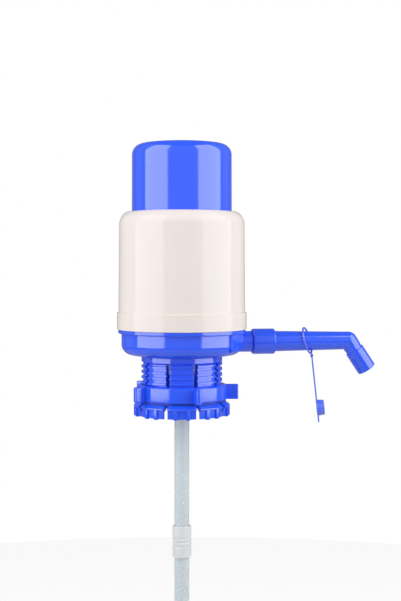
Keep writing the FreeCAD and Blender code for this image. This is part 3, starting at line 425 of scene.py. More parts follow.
def on_ring(point: Vector, corner: Corner) -> bool:
    """Say whether a point lies on the ring through a corner.

    Args:
        point: Point in metres.
        corner: Corner of a turned outline.

    Returns:
        Whether it does, to within CLOSE.
    """
    near = CLOSE * MM
    radius = math.hypot(point.x, point.y)
    return abs(radius - corner.radius * MM) < near and abs(point.z - corner.height * MM) < near


def round_steps(radius: float) -> int:
    """Number of facets for a rounding of this radius in millimetres."""
    base, per_mm = ARC_SHARE
    return max(ARC_STEPS[0], min(ARC_STEPS[1], round(base + per_mm * radius)))


def round_ring(piece: Piece, before: Corner, corner: Corner, after: Corner) -> None:
    """Bevel the ring at a corner into an arc that meets both of its sides.

    Args:
        piece: Piece that is open in edit mode.
        before: Corner before it along the outline.
        corner: Corner that is rounded.
        after: Corner after it.
    """
    here = Vector((corner.radius, corner.height))
    back = Vector((before.radius, before.height)) - here
    ahead = Vector((after.radius, after.height)) - here
    reach = corner.round / math.tan(back.angle(ahead) / 2)
    reach = min(reach, ROUND_SHARE * back.length, ROUND_SHARE * ahead.length)
    pick(piece, Pick.EDGES, lambda e: all(on_ring(v.co, corner) for v in e.verts))
    bpy.ops.mesh.bevel(offset=reach * MM, segments=round_steps(corner.round), affect="EDGES")


def extrude_along(way: Vector) -> None:
    """Extrude what is selected by a way in millimetres."""
    bpy.ops.mesh.extrude_region_move(TRANSFORM_OT_translate={"value": way * MM})


def climb_to(here: Corner, there: Corner) -> None:
    """Extrude the selected ring from one corner of an outline to the next.

    Args:
        here: Corner that the ring is at.
        there: Corner that it goes to.
    """
    extrude_along(Vector((0, 0, there.height - here.height)))
    share = there.radius / here.radius
    bpy.ops.transform.resize(value=(share, share, 1), center_override=(0, 0, there.height * MM))


def close_on_axis(ring: Corner, centre: Corner) -> None:
    """Draw the selected ring together in a point on the axis.

    Args:
        ring: Corner that the ring is at.
        centre: Corner on the axis.
    """
    extrude_along(Vector((0, 0, centre.height - ring.height)))
    bpy.ops.mesh.merge(type="CENTER")


def clean() -> None:
    """Merge the doubled points of the open mesh and turn its faces outwards."""
    bpy.ops.mesh.select_all(action="SELECT")
    bpy.ops.mesh.remove_doubles(threshold=MERGE * MM)
    bpy.ops.mesh.normals_make_consistent(inside=False)


def turn(name: str, outline: Outline, sides: int = TURN_SIDES) -> Piece:
    """Turn an outline about the upright axis.

    A circle is extruded from corner to corner. An outline that starts and ends on the axis
    is closed there by merging its end rings, and any other is closed by a last wall.

    Args:
        name: Name of the piece.
        outline: Radius, height and rounding of each corner, in order round the outline.
        sides: Number of sides of the circle.

    Returns:
        The piece, closed, in object mode.
    """
    corners = [Corner(*sizes) for sizes in outline]
    on_axis = corners[0].radius == 0.0
    path = corners[1:-1] if on_axis else corners
    piece = add(
        name, bpy.ops.mesh.primitive_circle_add, vertices=sides, radius=path[0].radius * MM,
        location=(0, 0, path[0].height * MM),
    )
    begin(piece, "SELECT")
    stops = path[1:] if on_axis else path[1:] + path[:1]
    for here, there in zip(path, stops):
        climb_to(here, there)
    if on_axis:
        close_on_axis(path[-1], corners[-1])
        pick(piece, Pick.EDGES, lambda e: e.is_boundary)
        close_on_axis(path[0], corners[0])
    clean()
    for i, corner in enumerate(corners):
        if corner.round > 0.0:
            round_ring(piece, corners[i - 1], corner, corners[(i + 1) % len(corners)])
    end()
    return piece


def lay(
    piece: Piece, origin: Place, lean: float = 0.0, yaw: float = 0.0, roll: float = 0.0
) -> Piece:
    """Tip an upright piece, turn it and move it, with its place kept in its mesh.

    Args:
        piece: Piece made along +Z from the origin.
        origin: Where its origin goes, in millimetres.
        lean: Degrees from +Z towards +X.
        yaw: Degrees that it is then turned about the upright.
        roll: Degrees from +Z towards -Y, before the lean.

    Returns:
        The same piece.
    """
    use_only(piece)
    piece.rotation_euler = [math.radians(degrees) for degrees in (roll, lean, yaw)]
    piece.location = Vector(origin) * MM
    bpy.ops.object.transform_apply()
    return piece


def spin(piece: Piece, degrees: float) -> Piece:
    """Turn a piece's mesh about the Z axis."""
    piece.data.transform(Matrix.Rotation(math.radians(degrees), 4, "Z"))
    return piece


def block(name: str, low: Place, high: Place, edge: float = 0.0) -> Piece:
    """Box between two corners, with all its edges rounded.

    Args:
        name: Name of the piece.
        low: Lowest corner, in millimetres.
        high: Highest corner.
        edge: Radius of the rounding, or zero for a tool that only cuts.

    Returns:
        The box.
    """
    low, high = Vector(low), Vector(high)
    piece = add(
        name, bpy.ops.mesh.primitive_cube_add, size=1.0, location=(low + high) / 2 * MM,
        scale=(high - low) * MM,
    )
    if edge > 0.0:
        begin(piece, "SELECT")
        bpy.ops.mesh.bevel(offset=edge * MM, segments=round_steps(edge), affect="EDGES")
        end()
    return piece


def rod(name: str, radius: float, length: float) -> Piece:
    """Make an upright cylinder from the origin, which cuts a hole.

    Args:
        name: Name of the piece.
        radius: Radius in millimetres.
        length: Length in millimetres.

    Returns:
        The cylinder.
    """
    return add(
        name, bpy.ops.mesh.primitive_cylinder_add, vertices=ROD_SIDES, radius=radius * MM,
        depth=length * MM, location=(0, 0, length / 2 * MM),
    )


def copy_of(piece: Piece) -> Piece:
    """Copy a piece with its mesh.

    Args:
        piece: Piece that is copied.

    Returns:
        The copy.
    """
    copy = piece.copy()
    copy.data = piece.data.copy()
    bpy.context.scene.collection.objects.link(copy)
    return copy


def join(first: Piece, *others: Piece) -> Piece:
    """Join pieces into the first one.

    Args:
        first: Piece that takes up the others.
        *others: Pieces that are used up.

    Returns:
        The first piece.
    """
    use_only(first)
    for other in others:
        other.select_set(True)
    bpy.ops.object.join()
    return first


def evenly(count: int, first: float = 0.0) -> list[float]:
    """Degrees of evenly spaced places round the axis."""
    return [first + 360.0 * i / count for i in range(count)]


def around(piece: Piece, angles: Sequence[float]) -> Piece:
    """Copy a piece to several angles about the Z axis and join the copies.

    Args:
        piece: Piece at zero degrees, which is used up.
        angles: Degrees of every copy.

    Returns:
        One piece that holds all the copies.
    """
    made = [spin(copy_of(piece), angle) for angle in angles]
    bpy.data.objects.remove(piece)
    return join(*made)


def cut(piece: Piece, tool: Piece) -> Piece:
    """Cut a closed piece by another, which is used up.

    Args:
        piece: Piece that is cut.
        tool: Piece that cuts it.

    Returns:
        The cut piece.
    """
    modify(piece, "BOOLEAN", operation="DIFFERENCE", object=tool, solver="EXACT")
    bpy.data.objects.remove(tool)
    return piece


def break_edges(piece: Piece, width: float, angle: float = SHARP) -> Piece:
    """Break the sharp edges of a piece with a narrow bevel.

    Args:
        piece: Piece in object mode.
        width: Width of the bevel in millimetres.
        angle: Least angle in degrees of an edge that is broken.

    Returns:
        The same piece.
    """
    return modify(
        piece, "BEVEL", width=width * MM, segments=2, limit_method="ANGLE",
        angle_limit=math.radians(angle),
    )


def slice_wedge(piece: Piece, half_angle: float) -> Piece:
    """Keep a wedge of a turned ring, and close its ends.

    Args:
        piece: Turned ring.
        half_angle: Degrees that are kept to both sides of +X.

    Returns:
        The wedge.
    """
    angle = math.radians(half_angle)
    begin(piece)
    cuts = [
        Vector((-1.0, 0.0, 0.0)),
        Vector((-math.sin(angle), math.cos(angle), 0.0)),
        Vector((-math.sin(angle), -math.cos(angle), 0.0)),
    ]
    for outwards in cuts:
        bpy.ops.mesh.select_all(action="SELECT")
        bpy.ops.mesh.bisect(plane_co=(0, 0, 0), plane_no=outwards, use_fill=True, clear_outer=True)
    clean()
    end()
    return piece


@dataclass(frozen=True)
class Ridge:
    """Ridge that climbs round the axis, as on a screw thread or a coil, in millimetres."""

    foot: float  # Radius of its foot
    crest: float  # Radius of its crest
    foot_width: float  # Width at the foot
    crest_width: float  # Width at the crest
    start: float  # Height of the middle of its lower end
    angle: float  # Degrees at which it starts
    pitch: float  # Rise in one turn
    turns: float  # Number of turns

    def build(self, name: str) -> Piece:
        """Wind the ridge up from the outline of its section.

        Args:
            name: Name of the piece.

        Returns:
            The ridge.
        """
        centre = ((self.foot + self.crest) / 2 * MM, 0, self.start * MM)
        ridge = add(name, bpy.ops.mesh.primitive_plane_add, size=MM, location=centre, rotation=UPRIGHT)
        begin(ridge, "SELECT")
        bpy.ops.transform.resize(
            value=(abs(self.crest - self.foot), 1, self.foot_width), center_override=centre
        )
        pick(ridge, Pick.POINTS, lambda v: abs(v.co.x - self.crest * MM) < CLOSE * MM)
        bpy.ops.transform.resize(
            value=(1, 1, self.crest_width / self.foot_width), center_override=centre
        )
        end()
        return wind(ridge, self.pitch, self.turns, self.angle)


def wind(section: Piece, pitch: float, turns: float, angle: float) -> Piece:
    """Wind a flat section up round the Z axis and close both its ends.

    Args:
        section: Flat face beside the axis, which becomes the winding.
        pitch: Rise in one turn, in millimetres.
        turns: Number of turns.
        angle: Degrees that the winding is turned on.

    Returns:
        The winding.
    """
    begin(section, "SELECT")
    bpy.ops.mesh.delete(type="ONLY_FACE")
    end()
    whole = math.ceil(turns)
    modify(
        section, "SCREW", axis="Z", angle=2 * math.pi * turns / whole,
        screw_offset=pitch * turns / whole * MM, iterations=whole,
        steps=THREAD_STEPS, render_steps=THREAD_STEPS,
    )
    begin(section, "SELECT")
    bpy.ops.mesh.remove_doubles(threshold=MERGE * MM)
    bpy.ops.mesh.fill_holes(sides=0)
    clean()
    end()
    return spin(section, angle)


def shade(piece: Piece) -> None:
    """Shade a finished piece smooth up to its sharp edges.

    Args:
        piece: Finished piece.
    """
    use_only(piece)
    bpy.ops.object.shade_smooth_by_angle(angle=math.radians(SMOOTH_ANGLE))
    modify(piece, "WEIGHTED_NORMAL", keep_sharp=True)


def paint(piece: Piece, node: str) -> None:
    """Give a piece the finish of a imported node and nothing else."""
    piece.data.materials.clear()
    piece.data.materials.append(NODE_FINISHES[node].value.material())


def stand_for(piece: Piece, node: str) -> None:
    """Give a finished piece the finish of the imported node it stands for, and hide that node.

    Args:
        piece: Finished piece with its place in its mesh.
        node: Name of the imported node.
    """
    paint(piece, node)
    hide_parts(node)
    LOG.info("%s: %d faces for %s", piece.name, len(piece.data.polygons), node)


@dataclass
class SubAssembly(ABC):
    """Pieces of one body, built first and then dressed."""

    # Its pieces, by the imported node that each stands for
    made: dict[str, Piece] = field(default_factory=dict, init=False)
    body: ClassVar[str] = "root"  # Body that they ride on

    @abstractmethod
    def build(self) -> None:
        """Model the pieces and keep each under the name of the node it stands for."""

    def dress(self) -> None:
        """Shade, finish and mount every piece that was built."""
        for node, piece in self.made.items():
            shade(piece)
            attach(piece, self.body)
            stand_for(piece, node)


# Cap and shell


@dataclass(frozen=True)
class Columns:
    """Columns with screw holes that stand in a circle round the axis, in millimetres."""

    radius: float  # Outside of a column
    bore: float  # Radius of its screw hole
    circle: float  # Distance of the columns from the axis
    count: int  # Number of columns
    first: float  # Degrees of the first column

    def build(self, name: str, foot: float, top: float) -> Piece:
        """Model the columns.

        Args:
            name: Name of the piece.
            foot: Height of the columns' feet.
            top: Height of their tops.

        Returns:
            The columns, as one piece.
        """
        column = turn(name, [
            (self.bore, foot), (self.radius, foot, FINE_ROUND),
            (self.radius, top), (self.bore, top),
        ], ROD_SIDES)
        return around(lay(column, (self.circle, 0, 0)), evenly(self.count, self.first))


@dataclass
class PressCap(SubAssembly):
    """Blue push button that slides in the shell, in millimetres."""

    foot: float = 106.45  # Height of its flange's underside
    top: float = 169.1  # Height of its crown
    radius: float = 38.9  # Outside of its side at the foot
    draft: float = 0.1  # How much narrower its side is at the top
    wall: float = 2.0  # Thickness of its side
    roof: float = 2.5  # Thickness of its top
    edge_round: float = 8.2  # Radius of the edge under the palm
    crown: float = 1.9  # Height of the dome over that edge
    # Where the dome's rings stand, as shares of its radius
    dome_shares: tuple[float, ...] = (0.58, 0.4, 0.2)
    flange_radius: float = 46.3  # Outside of the flange that stops it in the shell
    flange_height: float = 6.6  # Height of that flange
    flange_edge: float = 1.3  # Height of the flange's upright edge
    land: float = 2.1  # Width of the flange's flat top beside the cap
    # Columns for the ring's screws
    bosses: Columns = Columns(radius=3.2, bore=1.4, circle=32.8, count=4, first=45.0)
    boss_foot: float = 155.9  # Height of their feet
    body: ClassVar[str] = "cap"

    def outline(self) -> Outline:
        """Draw the section that is turned.

        Returns:
            Corners from the ceiling round the foot to the crown.
        """
        bore = self.radius - self.wall
        rim = self.radius - self.draft
        ceiling = self.top - self.crown - self.roof
        land = self.foot + self.flange_height
        ball = (self.radius ** 2 + self.crown ** 2) / (2 * self.crown)
        dome = [(rim, self.dome_height(rim, ball), self.edge_round)]
        dome += [(rim * s, self.dome_height(rim * s, ball)) for s in self.dome_shares]
        return [
            (0.0, ceiling),
            (bore, ceiling, self.edge_round - self.wall),
            (bore, self.foot, FINE_ROUND),
            (self.flange_radius, self.foot, EDGE_ROUND),
            (self.flange_radius, self.foot + self.flange_edge, EDGE_ROUND),
            (self.radius + self.land, land, EDGE_ROUND),
            (self.radius, land),
            *dome,
            (0.0, self.top),
        ]

    def dome_height(self, radius: float, ball: float) -> float:
        """Height of the dome at a radius, on a ball of the given radius."""
        return self.top - ball + math.sqrt(ball ** 2 - radius ** 2)

    def build(self) -> None:
        """Model the cap with the columns under its roof."""
        cap = turn("press_cap_moulding", self.outline())
        ceiling = self.top - self.crown - self.roof + EDGE_ROUND
        self.made["press_cap"] = join(cap, self.bosses.build("cap_boss", self.boss_foot, ceiling))


@dataclass
class OuterShell(SubAssembly):
    """White body with the wider band at its foot, in millimetres."""

    foot: float = 23.7  # Height of the band's foot
    top: float = 115.1  # Height of the shoulder round the cap
    band_radius: float = 50.5  # Outside of the band
    band_height: float = 13.2  # Height of the band
    band_bore: float = 48.0  # Radius of the band's bore
    bore_top: float = 35.0  # Height of the end of that bore
    bore_cone: float = 1.0  # Height of the cone from there to the body's bore
    side_foot_radius: float = 49.3  # Outside of the body just over the band
    side_top_radius: float = 48.8  # Outside at the top of its side
    wall: float = 2.0  # Thickness of its side
    # How far the shoulder's corners lie in from the side and down from the top
    shoulder: Pair = (5.1, 5.6)
    shoulder_round: Pair = (10.0, 7.5)  # Radii of the shoulder at the side and at the top
    bore_round: float = 6.0  # Radius of the shoulder's inside
    mouth: float = 39.4  # Radius of the opening that the cap slides in
    mouth_round: float = 0.7  # Rounding of that opening
    groove_height: float = 31.6  # Height of the middle of the snap groove
    groove_depth: float = 0.45  # Depth of that groove
    groove_half: float = 1.2  # Half its width
    rib_count: int = 6  # Number of ribs inside that stop the cap
    rib_in: float = 2.6  # How far a rib reaches inwards
    rib_width: float = 2.0  # Width of a rib
    rib_top: float = 61.4  # Height of the ribs' tops

    def outline(self) -> Outline:
        """Draw the section that is turned.

        Returns:
            Corners from the band's foot up the outside and down the bore.
        """
        bore = self.side_top_radius - self.wall
        step = self.foot + self.band_height
        inward, drop = self.shoulder
        low_round, high_round = self.shoulder_round
        return [
            (self.band_bore, self.foot),
            (self.band_radius, self.foot, EDGE_ROUND),
            (self.band_radius, step, EDGE_ROUND),
            (self.side_foot_radius, step, FINE_ROUND),
            (self.side_top_radius, self.top - drop, low_round),
            (self.side_top_radius - inward, self.top, high_round),
            (self.mouth, self.top, self.mouth_round),
            (self.mouth, self.top - self.wall, self.mouth_round),
            (bore, self.top - self.wall, self.bore_round),
            (bore, self.bore_top + self.bore_cone),
            (self.band_bore, self.bore_top),
            (self.band_bore, self.groove_height + self.groove_half),
            (self.band_bore + self.groove_depth, self.groove_height),
            (self.band_bore, self.groove_height - self.groove_half),
        ]

    def build(self) -> None:
        """Model the shell with its ribs."""
        shell = turn("outer_shell_moulding", self.outline())
        bore = self.side_top_radius - self.wall
        rib = block(
            "stop_rib",
            (bore - self.rib_in, -self.rib_width / 2, self.bore_top + self.bore_cone),
            (bore + EDGE_ROUND, self.rib_width / 2, self.rib_top),
            FINE_ROUND,
        )
        self.made["outer_shell"] = join(shell, around(rib, evenly(self.rib_count)))


# Bowl


@dataclass
class BaseBowl(SubAssembly):
    """Blue bowl with the riser, the water duct and the port, in millimetres."""

    seat: float = 2.8  # Height of its underside round the collet
    seat_radius: float = 31.5  # Radius of the collet's rim that it sits on
    recess_radius: float = 30.25  # Radius of the recess over the collet's web
    recess_height: float = 4.8  # Height of that recess's roof
    floor_top: float = 7.2  # Height of its floor
    radius: float = 47.0  # Outside of its side
    cone: float = 9.0  # Degrees that its underside rises outwards
    edge_round: float = 8.0  # Radius of its lower edge
    wall: float = 2.2  # Thickness of its side
    lip: Trio = (49.6, 20.7, 23.7)  # Radius, foot and top of its lip
    spigot: Trio = (47.95, 46.0, 34.0)  # Outside, inside and top of the spigot that the shell snaps on
    snap: Trio = (31.6, 0.45, 1.2)  # Height, stand and half width of the snap bead
    ledge: float = 22.0  # Height of the ledge that the valve plate lies on
    # Stand, foot, rounding and half angle of the raised panel round the port
    pad: Quad = (0.6, 2.0, 4.0, 45.0)
    pad_sharp: float = 60.0  # Least angle of the panel's edges that are broken
    riser: Trio = (8.6, 0.0, 20.0)  # Radius, foot and top of the riser
    socket: Pair = (5.85, 9.0)  # Radius and top of the dip tube's socket
    water: Pair = (3.6, 13.6)  # Radius and height of the water duct
    duct: float = 6.4  # Outside of the duct in the bowl
    port: Pair = (8.15, 55.0)  # Radius and end of the port
    pipe: Pair = (6.0, 66.0)  # Radius and end of the pipe that the coupling turns on
    snap_groove: Trio = (56.6, 0.9, 0.5)  # Middle, half width and depth of the coupling's groove
    ring_groove: Trio = (61.6, 0.95, 1.1)  # Middle, half width and depth of the O-ring's groove
    # Radius, circle, number and first angle of the holes that let air down
    air_holes: tuple[float, float, int, float] = (1.8, 12.7, 6, 30.0)
    # Columns for the foot ring's screws and for the collet's screws
    foot_posts: Columns = Columns(radius=3.7, bore=1.4, circle=41.6, count=6, first=30.0)
    collet_posts: Columns = Columns(radius=3.2, bore=1.4, circle=23.0, count=4, first=45.0)
    collet_post_top: float = 12.2  # Height of the collet's columns

    def underside(self) -> float:
        """Height of the lower corner of its side."""
        return self.seat + (self.radius - self.seat_radius) * math.tan(math.radians(self.cone))

    def outline(self) -> Outline:
        """Draw the section that is turned.

        Returns:
            Corners from the riser along the underside, up the lip and spigot and back inside.
        """
        lip_radius, lip_foot, lip_top = self.lip
        out, inside, top = self.spigot
        snap, stand, half = self.snap
        bore = self.radius - self.wall
        hub = self.riser[0] - EDGE_ROUND
        return [
            (hub, self.recess_height),
            (self.recess_radius, self.recess_height),
            (self.recess_radius, self.seat),
            (self.seat_radius, self.seat),
            (self.radius, self.underside(), self.edge_round),
            (self.radius, lip_foot, FINE_ROUND),
            (lip_radius, lip_foot, SOFT_ROUND),
            (lip_radius, lip_top, FINE_ROUND),
            (out, lip_top),
            (out, snap - half),
            (out + stand, snap),
            (out, snap + half),
            (out, top, EDGE_ROUND),
            (inside, top, EDGE_ROUND),
            (inside, self.ledge),
            (bore, self.ledge),
            (bore, self.floor_top, self.edge_round - self.wall),
            (hub, self.floor_top),
        ]

    def pad_panel(self) -> Piece:
        """Raised panel of the bowl's side round the port.

        Returns:
            The panel.
        """
        stand, rise, rounding, half_angle = self.pad
        inner = self.radius - self.wall + EDGE_ROUND
        low = self.underside() + rise
        ring = turn("port_pad", [
            (inner, low),
            (self.radius + stand, low, rounding),
            (self.radius + stand, self.lip[1]),
            (inner, self.lip[1]),
        ])
        return break_edges(slice_wedge(ring, half_angle), EDGE_BREAK, self.pad_sharp)

    def port_pipe(self) -> Piece:
        """Duct, port and grooved pipe in one, with the water way through them.

        Returns:
            The pipe, along the X axis.
        """
        bore = self.water[0]
        radius, port_end = self.port
        pipe, pipe_end = self.pipe
        wall = self.radius - self.wall + EDGE_ROUND
        outline = [
            (bore, 0.0), (self.duct, 0.0), (self.duct, wall),
            (radius, wall), (radius, port_end, FINE_ROUND), (pipe, port_end),
        ]
        for middle, half, depth in (self.snap_groove, self.ring_groove):
            outline += [
                (pipe, middle - half), (pipe - depth, middle - half),
                (pipe - depth, middle + half), (pipe, middle + half),
            ]
        outline += [(pipe, pipe_end, FINE_ROUND), (bore, pipe_end)]
        return lay(turn("port_pipe", outline, PIPE_SIDES), (0, 0, self.water[1]), 90.0)

    def riser_pipe(self) -> Piece:
        """Upright pipe with the dip tube's socket in its foot.

        Returns:
            The pipe.
        """
        radius, foot, top = self.riser
        socket, socket_top = self.socket
        bore, axis = self.water
        return turn("riser", [
            (0.0, axis + bore),
            (bore, axis + bore, SOFT_ROUND),
            (bore, socket_top),
            (socket, socket_top),
            (socket, foot, FINE_ROUND),
            (radius, foot, FINE_ROUND),
            (radius, top, SOFT_ROUND),
            (0.0, top),
        ], PIPE_SIDES)

    def posts(self) -> Piece:
        """Columns for the foot ring's and the collet's screws.

        Returns:
            The columns, as one piece.
        """
        foot = self.floor_top - EDGE_ROUND
        foot_posts = self.foot_posts.build("bowl_post", foot, self.ledge)
        return join(foot_posts, self.collet_posts.build("bowl_post", foot, self.collet_post_top))

    def build(self) -> None:
        """Model the bowl, cut its water way and its air holes, and join what grows out of it."""
        bowl = turn("base_bowl_moulding", self.outline())
        radius, circle, count, first = self.air_holes
        hole = lay(rod("air_hole", radius, self.floor_top), (circle, 0, self.seat))
        cut(bowl, around(hole, evenly(count, first)))
        bore, axis = self.water
        way = lay(rod("water_way", bore, self.port[1]), (0, 0, axis), 90.0)
        solids = [bowl, self.pad_panel(), self.riser_pipe()]
        for solid in solids:
            cut(solid, copy_of(way))
        bpy.data.objects.remove(way)
        self.made["base_bowl"] = join(*solids, self.port_pipe(), self.posts())


# Collar


@dataclass
class Collar(SubAssembly):
    """Split collet on the bottle's neck with the gasket inside, in millimetres."""

    bore: float = 28.3  # Radius round the bottle's crown
    web: Trio = (17.0, 1.8, 4.8)  # Bore, underside and top of the web over the bottle's mouth
    spigot: float = 30.2  # Radius of the step that stands up into the bowl
    rim: Trio = (31.5, -1.0, 2.8)  # Radius, underside and top of the rim
    rim_cone: float = 1.0  # Height of the cone under the rim
    sleeve: float = 30.1  # Outside of the fingers
    shelf: float = 33.5  # Radius of the feet's flat top
    foot: Trio = (37.4, -31.9, -42.4)  # Radius, top and bottom of the feet
    shoulder: Pair = (2.8, 1.0)  # Height of the feet's shoulder, and of its upright edge
    hem_in: float = 1.4  # How much narrower the hem is
    skirt: float = 2.0  # Thickness of the feet's skirt
    roof: float = 2.6  # Thickness of the feet's roof
    inner_round: float = 1.0  # Rounding inside the feet
    shelf_round: float = 1.2  # Rounding between the feet's side and their shelf
    slot: Pair = (3.0, -1.2)  # Width and top of a slot
    finger_count: int = 9  # Number of fingers
    first_slot: float = 3.0  # Degrees of the first slot
    rib: Trio = (3.0, 0.6, 7.3)  # Width, drop below the hem and degrees off a finger's middle
    # Ridge of its thread, which points outwards
    thread: Ridge = Ridge(
        foot=29.9, crest=31.5, foot_width=2.5, crest_width=1.7,
        start=-29.05, angle=-97.0, pitch=4.2, turns=6.25,
    )
    gasket: Trio = (17.0, 28.25, 1.8)  # Bore, outside and thickness of the gasket
    # Depth, half width and place of the grooves in the gasket's face
    bead: tuple[float, float, Pair] = (0.3, 0.5, (20.5, 24.0))

    def outline(self) -> Outline:
        """Draw the section that is turned.

        Returns:
            Corners from the web down the bore, round the feet and up the outside.
        """
        web_bore, web_foot, web_top = self.web
        rim, rim_foot, rim_top = self.rim
        foot, top, bottom = self.foot
        fall, edge = self.shoulder
        hem = foot - self.hem_in
        return [
            (web_bore, web_foot),
            (self.bore, web_foot),
            (self.bore, top - self.roof, self.inner_round),
            (hem - self.skirt, top - self.roof - fall, self.inner_round),
            (hem - self.skirt, bottom, FINE_ROUND),
            (hem, bottom, SOFT_ROUND),
            (hem, top - fall - edge, FINE_ROUND),
            (foot, top - fall - edge, FINE_ROUND),
            (foot, top - fall, self.shelf_round),
            (self.shelf, top, SOFT_ROUND),
            (self.sleeve, top, FINE_ROUND),
            (self.sleeve, rim_foot - self.rim_cone, EDGE_ROUND),
            (rim, rim_foot, FINE_ROUND),
            (rim, rim_top),
            (self.spigot, rim_top),
            (self.spigot, web_top, FINE_ROUND),
            (web_bore, web_top),
        ]

    def rib_pair(self) -> Piece:
        """Two short ribs on every foot.

        Returns:
            The ribs of all feet, as one piece.
        """
        width, drop, off = self.rib
        foot, top, bottom = self.foot
        fall, edge = self.shoulder
        middle = self.first_slot + 180.0 / self.finger_count
        rib = block(
            "foot_rib",
            (foot - self.hem_in - self.skirt + FINE_ROUND, -width / 2, bottom - drop),
            (math.sqrt(foot ** 2 - width ** 2 / 4), width / 2, top - fall - edge + EDGE_ROUND),
            EDGE_ROUND,
        )
        angles = evenly(self.finger_count, middle - off) + evenly(self.finger_count, middle + off)
        return around(rib, angles)

    def slots(self) -> Piece:
        """Boxes that part the fingers.

        Returns:
            The boxes, as one tool.
        """
        width, top = self.slot
        slot = block(
            "slot",
            (self.bore - OVERRUN, -width / 2, self.foot[2] - self.rib[1] - OVERRUN),
            (self.foot[0] + 2 * OVERRUN, width / 2, top),
        )
        return around(slot, evenly(self.finger_count, self.first_slot))

    def build_gasket(self) -> Piece:
        """Flat ring whose lower face has two grooves that leave sealing beads.

        Returns:
            The gasket.
        """
        bore, radius, top = self.gasket
        depth, half, places = self.bead
        face = [(bore, 0.0, FINE_ROUND)]
        for place in places:
            face += [(place - half, 0.0), (place, depth), (place + half, 0.0)]
        return turn("neck_gasket_ring", [
            *face, (radius, 0.0, FINE_ROUND), (radius, top, FINE_ROUND),
            (bore, top, FINE_ROUND),
        ])

    def build(self) -> None:
        """Model the collet and its gasket."""
        sleeve = spin(turn("neck_collet_moulding", self.outline()), SLOT_CLEAR)
        slots = self.slots()
        cut(sleeve, copy_of(slots))
        thread = cut(self.thread.build("collet_thread"), slots)
        break_edges(sleeve, EDGE_BREAK)
        break_edges(thread, EDGE_BREAK)
        self.made["neck_collet"] = join(sleeve, thread, self.rib_pair())
        self.made["neck_gasket"] = self.build_gasket()


@dataclass
class ClampNut(SubAssembly):
    """Threaded ring with five lugs for the hand, in millimetres."""

    bore: float = 31.85  # Radius over the collet's thread
    radius: float = 35.1  # Outside of the ring
    foot: float = -30.8  # Height of its underside
    top: float = -18.6  # Height of its top
    chamfer: float = 1.1  # Height of the cone at its top
    shoulder_round: float = 0.8  # Rounding between side and cone
    hem_round: float = 1.2  # Rounding of its lower edge
    land: float = 0.6  # Width of its flat top
    lug: Quad = (44.0, 3.9, 11.7, 0.9)  # Outer radius, thickness, height and rounding of a lug
    lug_count: int = 5  # Number of lugs
    first_lug: float = -79.5  # Degrees of the first lug
    # Ridge of its thread, which points inwards
    thread: Ridge = Ridge(
        foot=32.05, crest=30.45, foot_width=1.6, crest_width=0.8,
        start=-29.8, angle=18.714, pitch=4.2, turns=2.25,
    )
    body: ClassVar[str] = "clamp_nut"

    def build(self) -> None:
        """Model the ring, its thread and its lugs."""
        ring = turn("clamp_nut_moulding", [
            (self.bore, self.foot, FINE_ROUND),
            (self.radius, self.foot, self.hem_round),
            (self.radius, self.top - self.chamfer, self.shoulder_round),
            (self.bore + self.land, self.top, FINE_ROUND),
            (self.bore, self.top, FINE_ROUND),
        ])
        reach, thickness, height, rounding = self.lug
        lug = block(
            "nut_lug",
            (self.bore + EDGE_ROUND, -thickness / 2, self.foot),
            (reach, thickness / 2, self.foot + height),
            rounding,
        )
        lugs = around(lug, evenly(self.lug_count, self.first_lug))
        self.made["clamp_nut"] = join(ring, self.thread.build("nut_thread"), lugs)


# Spout


@dataclass(frozen=True)
class Station:
    """Ring of a bent tube."""

    place: float  # Distance along the tube's straight run, in millimetres
    radius: float  # Radius of the ring


